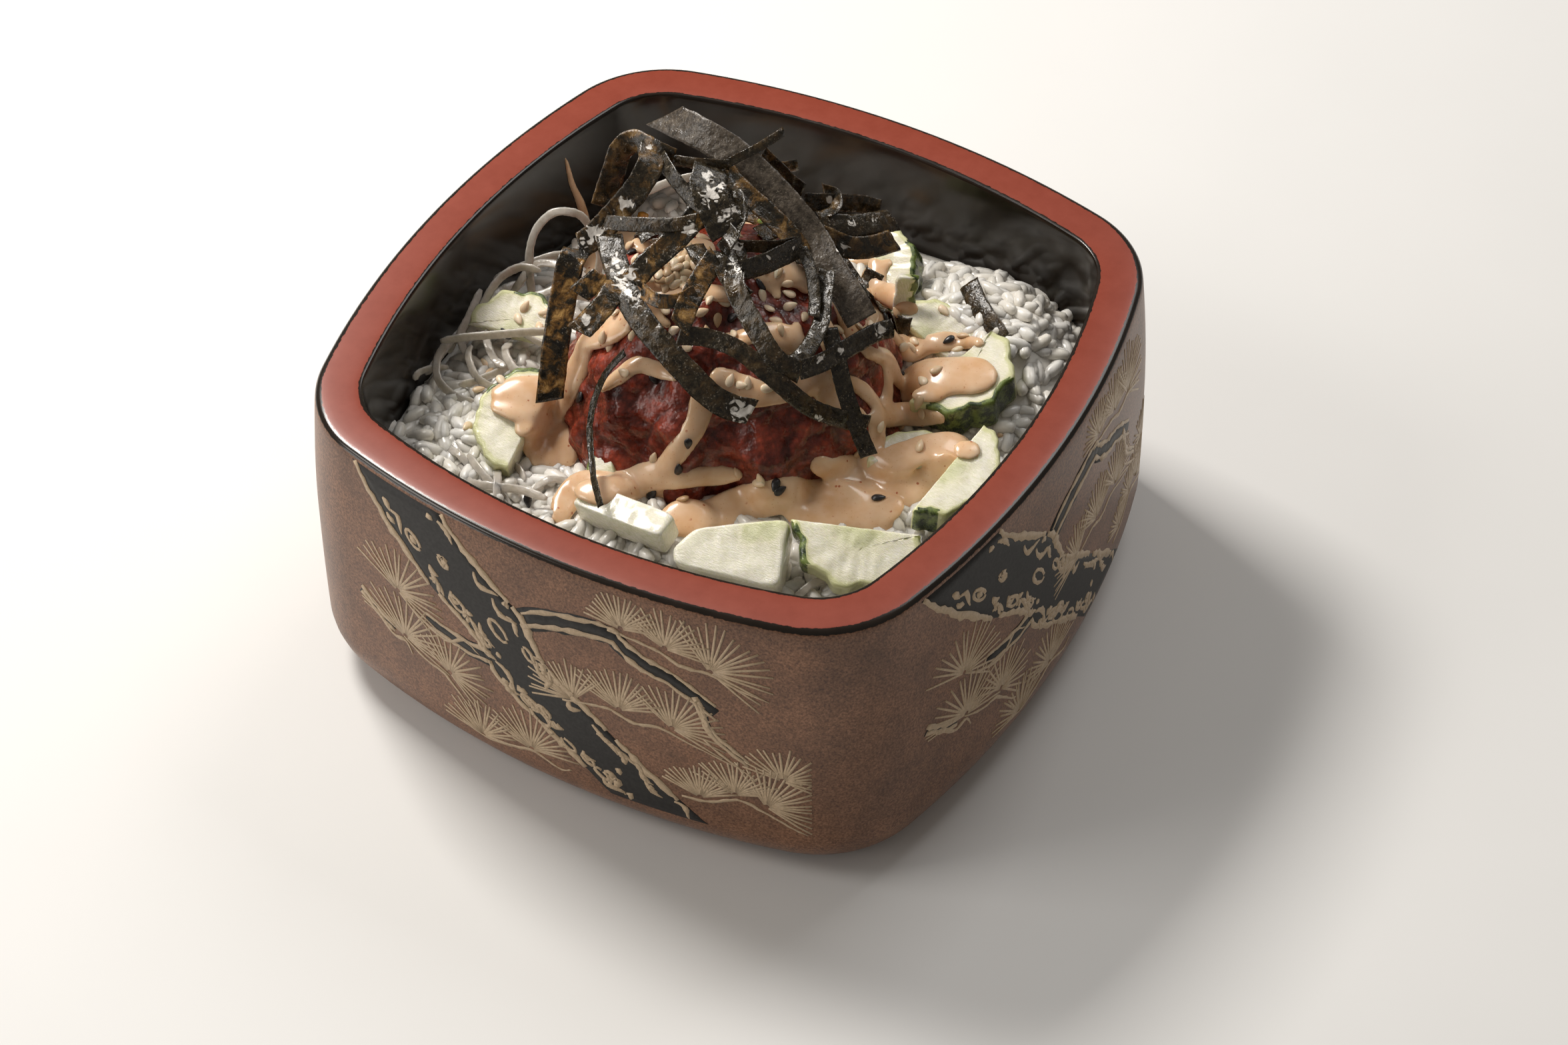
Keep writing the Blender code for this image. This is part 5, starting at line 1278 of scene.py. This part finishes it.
# the sauce: runs given where they show in the photograph, laid on whatever is under them
sauce = {
    "runs": [               # half-width, pixels along the run
        # front left, over the front chunk and up the mound
        (3.0, [(841, 774), (856, 739), (887, 723), (933, 728), (968, 716), (1000, 700)]),
        (3.6, [(866, 738), (927, 738), (985, 735)]),
        (2.4, [(984, 718), (1008, 690), (1030, 660), (1045, 634), (1052, 612), (1046, 594)]),
        (2.2, [(989, 728), (1024, 718), (1065, 713), (1106, 713)]),
        # the thick run over the front wedge and on to the right
        (4.2, [(1012, 776), (1045, 780), (1086, 769), (1127, 754), (1167, 741), (1208, 735)]),
        (3.6, [(1208, 733), (1259, 739), (1290, 728), (1331, 703), (1371, 679), (1412, 672), (1453, 677)]),
        (4.4, [(1225, 752), (1275, 757), (1325, 748), (1375, 725), (1420, 700)]),
        (3.8, [(1240, 775), (1300, 770), (1340, 762)]),
        (3.0, [(1193, 774), (1239, 774), (1290, 779), (1328, 786)]),
        (3.0, [(1229, 698), (1259, 705), (1284, 695)]),
        (2.5, [(1310, 630), (1351, 621), (1412, 626)]),
        (2.3, [(1310, 626), (1315, 662), (1300, 700)]),
        # right side
        (4.8, [(1366, 584), (1390, 574), (1424, 566), (1455, 565), (1472, 568)]),
        (2.6, [(1358, 596), (1392, 592), (1420, 586)]),
        (2.6, [(1316, 436), (1334, 441), (1350, 452), (1366, 464)]),
        (2.2, [(1342, 508), (1376, 515), (1407, 518), (1438, 515), (1469, 515)]),
        (2.2, [(1273, 391), (1300, 391), (1318, 401), (1314, 425), (1324, 453), (1318, 480)]),
        (1.9, [(1273, 432), (1293, 443), (1307, 460)]),
        (2.4, [(1300, 529), (1328, 535), (1335, 556), (1349, 577)]),
        (2.2, [(1273, 570), (1293, 584), (1314, 608), (1321, 625)]),
        (2.4, [(1262, 478), (1276, 502), (1292, 520)]),
        (2.0, [(1326, 556), (1331, 586), (1320, 612)]),
        # the mound's top and front
        (2.6, [(1142, 412), (1176, 408), (1200, 415), (1207, 432)]),
        (2.2, [(1087, 508), (1121, 508), (1149, 494), (1176, 508), (1197, 529), (1194, 490)]),
        (3.2, [(1080, 566), (1101, 580), (1125, 590), (1159, 587), (1190, 577), (1214, 566), (1232, 577), (1235, 597)]),
        (2.6, [(1074, 571), (1101, 578), (1132, 585), (1163, 585)]),
        (2.1, [(905, 582), (933, 564), (957, 544), (984, 554), (1012, 568)]),
        (2.5, [(867, 440), (888, 413), (881, 399), (933, 358)]),
        (3.2, [(964, 423), (991, 413), (1019, 385), (1046, 375)]),
        (2.4, [(971, 451), (1002, 454), (1036, 440), (1070, 440), (1098, 447)]),
        (2.0, [(1136, 416), (1157, 427), (1166, 445)]),
        (2.0, [(905, 470), (940, 478), (975, 470), (1000, 486)]),
        (3.0, [(885, 514), (912, 502), (940, 490)]),
        (4.2, [(975, 428), (1003, 412), (1032, 392), (1052, 378)]),
        (2.8, [(925, 350), (948, 362), (968, 374)]),
        (3.2, [(1142, 414), (1172, 406), (1202, 420)]),
        (3.0, [(1150, 500), (1178, 506), (1200, 522)]),
        (2.4, [(1206, 590), (1232, 570), (1246, 585)]),
        (2.4, [(1296, 440), (1306, 465), (1303, 495)]),
        # left side
        (4.2, [(756, 592), (778, 592), (802, 588), (826, 592)]),
        (2.9, [(785, 644), (812, 626), (836, 626), (853, 592), (867, 557), (878, 530), (881, 509), (909, 502),
               (933, 482)]),
        (3.4, [(752, 610), (785, 614), (810, 622)]),
        (3.0, [(800, 610), (812, 634), (820, 662), (826, 692)]),
        (3.0, [(824, 612), (836, 640), (842, 668), (850, 690)]),
        (2.6, [(792, 652), (800, 672), (806, 692)]),
        # the mound's right flank
        (2.2, [(1228, 470), (1240, 505), (1252, 540), (1262, 572)]),
        (2.0, [(1248, 445), (1262, 470), (1270, 500)]),
        (2.4, [(1236, 600), (1262, 612), (1290, 622)]),
        (1.6, [(816, 475), (826, 471), (842, 470)]),
    ],
    "behind": [             # on the far side, in mm from above
        (2.4, [(-20, 24), (-12, 28), (-3, 30), (6, 27), (14, 28)]),
        (2.2, [(1, 14), (6, 24), (8, 32), (9, 38), (12, 44)]),
        (2.6, [(-27, 10), (-31, 18), (-34, 26), (-40, 32)]),
        (2.0, [(17, 17), (24, 23), (30, 29), (37, 33)]),
        (2.4, [(-9, 15), (-15, 25), (-18, 35), (-22, 44)]),
        (2.8, [(-6, 36), (0, 40), (4, 44)]),
    ],
    "streak": [(848, 238), (852, 252), (855, 268), (862, 286), (869, 302), (875, 320), (878, 332)],
    "streakSizes": (0.6, 0.8, 0.95, 1.0, 1.25, 1.3, 1.2),
    "streakSteps": 60,
    "flatness": (0.48, 0.25),       # of the thinnest and the thickest runs
    "spread": 1.1,          # the runs' half-widths are taken this much wider
    "step": 0.9,
    "level": 0.45,          # how far the runs lie level rather than along what is under them
    "jump": 9.0,            # a longer way than this between two hits is a new run
    "voxel": 0.46,
    "smooth": 20,
    "colour": (0.70, 0.425, 0.23),
    "light": (0.83, 0.60, 0.41),
    "speck": (0.42, 0.085, 0.030),
}


def sauceFinish():
    material, tree, shader = newMaterial("creamySauce", sauce["colour"], 0.22, Subsurface_Weight=0.3,
                                         Subsurface_Scale=0.003,
                                         Coat_Weight=0.12, Coat_Roughness=0.06)
    shader.inputs["Subsurface Radius"].default_value = (1.0, 0.6, 0.35)
    cream = rampNode(tree, noiseNode(tree, 6.0, 3.0), [(0.32, sauce["colour"]), (0.72, sauce["light"])])
    dots = stepNode(tree, cellNode(tree, 2.1), 0.10, 0.17, (0.85, 0.0))
    few = stepNode(tree, noiseNode(tree, 3.4, 2.0), 0.50, 0.58)
    dust = stepNode(tree, cellNode(tree, 0.95), 0.10, 0.16, (0.45, 0.0))
    specked = mixNode(tree, mathNode(tree, "MULTIPLY", dots, few), cream, sauce["speck"])
    link(tree, mixNode(tree, dust, specked, (0.55, 0.25, 0.12)), shader.inputs["Base Color"])
    return material


def layRun(heap, ball, faces, part, size):      # flattened balls along a run, close enough to melt together
    spots = np.array([list(spot) for spot, _ in part])
    ways = np.array([list(way) for _, way in part])
    for _ in range(8 if len(part) > 2 else 0):
        spots[1:-1] = (spots[:-2] + 2 * spots[1:-1] + spots[2:]) / 4
        ways[1:-1] = unit(ways[:-2] + 2 * ways[1:-1] + ways[2:])
    count = len(part)
    for k in range(count):
        gap = np.linalg.norm(spots[k + 1] - spots[k]) / (sauce["step"] * mm) if k + 1 < count else 1
        for share in np.arange(0, 1, 1 / max(1, int(gap + 0.5))):
            near = min(k + 1, count - 1)
            centre = Vector(spots[k] * (1 - share) + spots[near] * share)
            way = Vector(ways[k] * (1 - share) + ways[near] * share).normalized()
            end = min(k, count - 1 - k)
            swell = min(1.0, min(0.72, 0.3 + 0.13 * size) + 0.09 * end)
            swell *= 1 + 0.15 * noise.noise(centre / (6 * mm))
            flat = np.interp(size, (1.8, 4.2), sauce["flatness"])
            stretch = np.array([size * swell, size * swell, size * swell * flat]) * mm
            turn = way.to_track_quat("Z", "Y").to_matrix()
            addShape(heap, (ball * stretch) @ np.array(turn).T + np.array(centre + way * size * 0.1 * mm), faces)


def meltedMesh(name, heap):
    rough = bpy.data.objects.new("sauceRough", meshFrom("sauceRough", heap))
    show(rough)
    melt = rough.modifiers.new("melt", "REMESH")
    melt.mode = "VOXEL"
    melt.voxel_size = sauce["voxel"] * mm
    soften = rough.modifiers.new("soften", "SMOOTH")
    soften.factor, soften.iterations = 0.5, sauce["smooth"]
    graph = bpy.context.evaluated_depsgraph_get()
    mesh = bpy.data.meshes.new_from_object(rough.evaluated_get(graph))
    bpy.data.objects.remove(rough, do_unlink=True)
    mesh.name = name
    mesh.shade_smooth()
    return mesh


def addSauce(under, shell):
    tree = treeOf(*under)
    ball, faces = ballShape(12, 8)
    heap = newHeap()
    runs = [(size, route, pixelRay, 6.8) for size, route in sauce["runs"]]
    runs += [(size, route, fromAbove, 1.0) for size, route in sauce["behind"]]
    for size, route, rayOf, scale in runs:
        length = np.hypot(*np.diff(np.array(route, float), axis=0).T).sum() / scale
        parts, last = [], None
        for u, v in spline(route, max(3, int(length / sauce["step"]) + 1)) / mm:
            spot, normal, _, _ = tree.ray_cast(*rayOf(u, v))
            if spot is None:
                continue
            if last is None or (spot - last).length > sauce["jump"] * mm:
                parts.append([])
            parts[-1].append((spot, (normal + Vector((0, 0, sauce["level"]))).normalized()))
            last = spot
        for part in parts:
            layRun(heap, ball, faces, part, size * sauce["spread"])
    wall = treeOf(shell)
    line = spline(sauce["streak"], sauce["streakSteps"]) / mm
    sizes = np.interp(np.linspace(0, 1, sauce["streakSteps"]), np.linspace(0, 1, len(sauce["streakSizes"])),
                      sauce["streakSizes"])
    for (u, v), size in zip(line, sizes):
        spot = wall.ray_cast(*pixelRay(u, v))[0]
        addShape(heap, ball * size * mm + spot, faces)
    return addPiece("sauceRuns", meltedMesh("sauceRuns", heap), sauceFinish())


# sesame and the small bits, by where they show in the photograph
sesame = {
    "size": (3.1, 1.85, 1.05),
    "cream": [
        (788, 461), (778, 480), (809, 490), (817, 470), (728, 546), (1064, 451), (1053, 468), (1060, 499), (1101, 502),
        (1153, 464), (998, 466), (1012, 495), (936, 559), (1095, 571), (1112, 578), (1122, 575), (1151, 583),
        (905, 506), (950, 502), (946, 368), (1167, 409), (1143, 445), (1276, 410), (1299, 411), (1269, 478),
        (1185, 460), (1206, 477), (1163, 482), (1171, 496), (1302, 442), (1445, 505), (1373, 513), (1367, 523),
        (1438, 525), (1405, 556), (1385, 572), (1378, 604), (1350, 641), (1502, 652), (1380, 670), (1287, 680),
        (1416, 467), (1383, 620), (1139, 726), (1106, 710), (1024, 750), (981, 687), (1142, 720), (960, 455),
        (940, 440), (925, 470), (1085, 455), (1120, 440), (1215, 520), (1240, 545), (1330, 500), (1355, 520),
        (1345, 470), (1265, 505), (1225, 450), (885, 470), (915, 520), (1030, 520), (1180, 425), (1035, 470),
        (1075, 480), (700, 640), (735, 560), (752, 572), (718, 585), (1320, 640), (1128, 500)],
    "black": [
        (1032, 665), (981, 568), (871, 596), (1017, 703), (1170, 736), (1318, 748), (759, 499), (1012, 392),
        (1141, 427), (1100, 476), (1423, 511), (791, 752), (978, 741), (1163, 728)],
    "cluster": ((1007, 398), (52, 36), 46),        # middle, half sizes in pixels, how many
    "behind": 54,           # how many on the far side of the mound
    "bits": [               # where it shows, size, colour
        ((964, 325), (2.6, 2.0, 1.3), (0.75, 0.36, 0.06)),
        ((1144, 336), (2.4, 1.8, 1.6), (0.34, 0.42, 0.10)),
        ((1142, 352), (1.7, 1.5, 1.2), (0.40, 0.46, 0.14)),
    ],
    "seed": 9,
    "creamColour": (0.70, 0.52, 0.33),
    "blackColour": (0.012, 0.011, 0.012),
}


def seedShape():
    verts, faces = ballShape(10, 8)
    narrow = 1 - 0.34 * np.clip(verts[:, 0], -1, 1) - 0.14 * verts[:, 0]**2
    verts[:, 1] *= narrow
    verts[:, 2] *= 0.75 + 0.25 * narrow
    return verts * np.array(sesame["size"]) / 2 * mm, faces


def sesameRays(rng):        # kind, ray towards where it lies, and how far it lies over that
    rays = [(kind, pixelRay(u, v), 0.0) for kind in ("cream", "black") for u, v in sesame[kind]]
    (middleU, middleV), (halfU, halfV), many = sesame["cluster"]
    for k in range(many):
        out, angle = math.sqrt((k + 0.5) / many), k * math.pi * (3 - math.sqrt(5))
        ray = pixelRay(middleU + halfU * out * math.cos(angle), middleV + halfV * out * math.sin(angle))
        rays.append(("cream", ray, rng.uniform(0, 0.9)))
    centreX, centreY = tuna["centre"]
    for k in range(sesame["behind"]):
        out, angle = rng.uniform(8, 36), math.radians(rng.uniform(5, 195))
        ray = fromAbove(centreX + out * math.cos(angle), centreY + out * math.sin(angle))
        rays.append(("black" if k % 6 == 0 else "cream", ray, 0.0))
    return rays


def sesameFinish():
    cream, nodes, shader = newMaterial("creamSesame", sesame["creamColour"], 0.35, Subsurface_Weight=0.15,
                                       Subsurface_Scale=0.001)
    tone = rampNode(nodes, valueNode(nodes, "tone"), [
        (0.0, (0.50, 0.32, 0.17)), (0.4, sesame["creamColour"]), (1.0, (0.80, 0.66, 0.48))])
    link(nodes, tone, shader.inputs["Base Color"])
    bumpNode(nodes, shader, noiseNode(nodes, 0.5, 2.0), 0.25, 0.1)
    black, nodes, shader = newMaterial("blackSesame", sesame["blackColour"], 0.3)
    tone = rampNode(nodes, noiseNode(nodes, 0.6, 3.0), [(0.35, sesame["blackColour"]), (0.75, (0.04, 0.036, 0.036))])
    link(nodes, tone, shader.inputs["Base Color"])
    bumpNode(nodes, shader, noiseNode(nodes, 0.4, 2.0), 0.3, 0.1)
    return cream, black


def addBits(tree):
    for number, ((u, v), size, colour) in enumerate(sesame["bits"], 1):
        spot, normal, _, _ = tree.ray_cast(*pixelRay(u, v))
        heap = newHeap()
        verts, faces = ballShape(16, 10)
        verts = [Vector(vert) * (1 + 0.35 * noise.noise(Vector(vert) * 1.3 + Vector((number, 0, 0)))) for vert in verts]
        addShape(heap, np.array(verts) * size / 2 * mm + np.array(spot + normal * 0.5 * mm), faces)
        name = "bit" + str(number)
        material, nodes, shader = newMaterial(name, colour, 0.2, Subsurface_Weight=0.5, Subsurface_Scale=0.002)
        tone = rampNode(nodes, noiseNode(nodes, 0.9, 3.0), [(0.3, tuple(0.6 * c for c in colour)), (0.7, colour)])
        link(nodes, tone, shader.inputs["Base Color"])
        addPiece(name, heap, material)


def addSesame(under):
    tree = treeOf(*under)
    rng = random.Random(sesame["seed"])
    shape, faces = seedShape()
    heaps = {"cream": newHeap(), "black": newHeap()}
    for kind, ray, lift in sesameRays(rng):
        spot, normal, _, _ = tree.ray_cast(*ray)
        if not spot:
            continue
        lean = (normal + Vector([rng.uniform(-0.3, 0.3) for _ in range(3)])).normalized()
        turn = lean.to_track_quat("Z", "Y").to_matrix() @ Matrix.Rotation(rng.uniform(0, 6.3), 3, "Z")
        verts = shape * rng.uniform(0.88, 1.06) @ np.array(turn).T + np.array(spot + normal * (0.30 + lift) * mm)
        addShape(heaps[kind], verts, faces, tone=rng.random())
    creamMaterial, blackMaterial = sesameFinish()
    addPiece("sesameCream", heaps["cream"], creamMaterial)
    addPiece("sesameBlack", heaps["black"], blackMaterial)
    addBits(tree)


# floor and studio lights
studio = {
    "floor": (0.80, 0.80, 0.79),
    "world": (0.96, 0.89, 0.81),
    "worldStrength": 0.19,
    "floorHalf": 2.5,       # m
    "floorDrop": 0.0002,
    "aim": (0, 0, 0.06),
    "lights": {             # where from (azimuth as the camera's, elevation), distance m, size m, watts, colour
        "keyLight": (-106, 51, 0.78, 0.22, 6.0, (1.0, 0.955, 0.90)),
        "frontLight": (-52, 40, 1.2, 0.4, 3.1, (1.0, 0.96, 0.91)),
        "sideLight": (-42, 9, 1.2, 0.5, 2.8, (1.0, 0.97, 0.94)),
        "backLight": (172, 50, 1.2, 0.5, 3.2, (1.0, 0.99, 0.98)),
    },
}


def addStudio():
    heap = newHeap()
    far = studio["floorHalf"]
    addShape(heap, [(-far, -far, 0), (far, -far, 0), (far, far, 0), (-far, far, 0)], [[0, 1, 2, 3]])
    material, tree, shader = newMaterial("paleFloor", studio["floor"], 0.75)
    tint = rampNode(tree, noiseNode(tree, 60.0, 3.0), [(0.3, studio["floor"]), (0.7, (0.815, 0.815, 0.805))])
    link(tree, tint, shader.inputs["Base Color"])
    mesh = meshFrom("floor", heap)
    mesh.materials.append(material)
    floor = bpy.data.objects.new("floor", mesh)
    show(floor)
    floor.location.z = -studio["floorDrop"]
    world = bpy.data.worlds.new("softRoom")
    world.use_nodes = True
    sky = world.node_tree.nodes["Background"]
    sky.inputs["Color"].default_value = (*studio["world"], 1)
    sky.inputs["Strength"].default_value = studio["worldStrength"]
    bpy.context.scene.world = world
    aim = Vector(studio["aim"])
    for name, (azimuth, elevation, distance, size, power, colour) in studio["lights"].items():
        a, e = math.radians(azimuth), math.radians(elevation)
        way = Vector((math.sin(a) * math.cos(e), -math.cos(a) * math.cos(e), math.sin(e)))
        data = bpy.data.lights.new(name, "AREA")
        data.size, data.energy, data.color = size, power, colour
        lamp = bpy.data.objects.new(name, data)
        lamp.location = aim + way * distance
        lamp.rotation_mode = "QUATERNION"
        lamp.rotation_quaternion = way.to_track_quat("Z", "Y")
        show(lamp)
    bpy.context.scene.view_settings.view_transform = "Standard"


addCamera()
addStudio()
shell = addBowl()
addPine()
print("bowl and pine done")
mound = addTuna()
slices = addCucumbers()
addDaikon()
bed = addRice(slices)
print("rice and toppings done")
runs = addSauce([mound, bed] + slices, shell)
addNori([mound, runs], [bed] + slices)
addSesame([mound, runs, bed] + slices)
print("sauce, nori and sesame done")
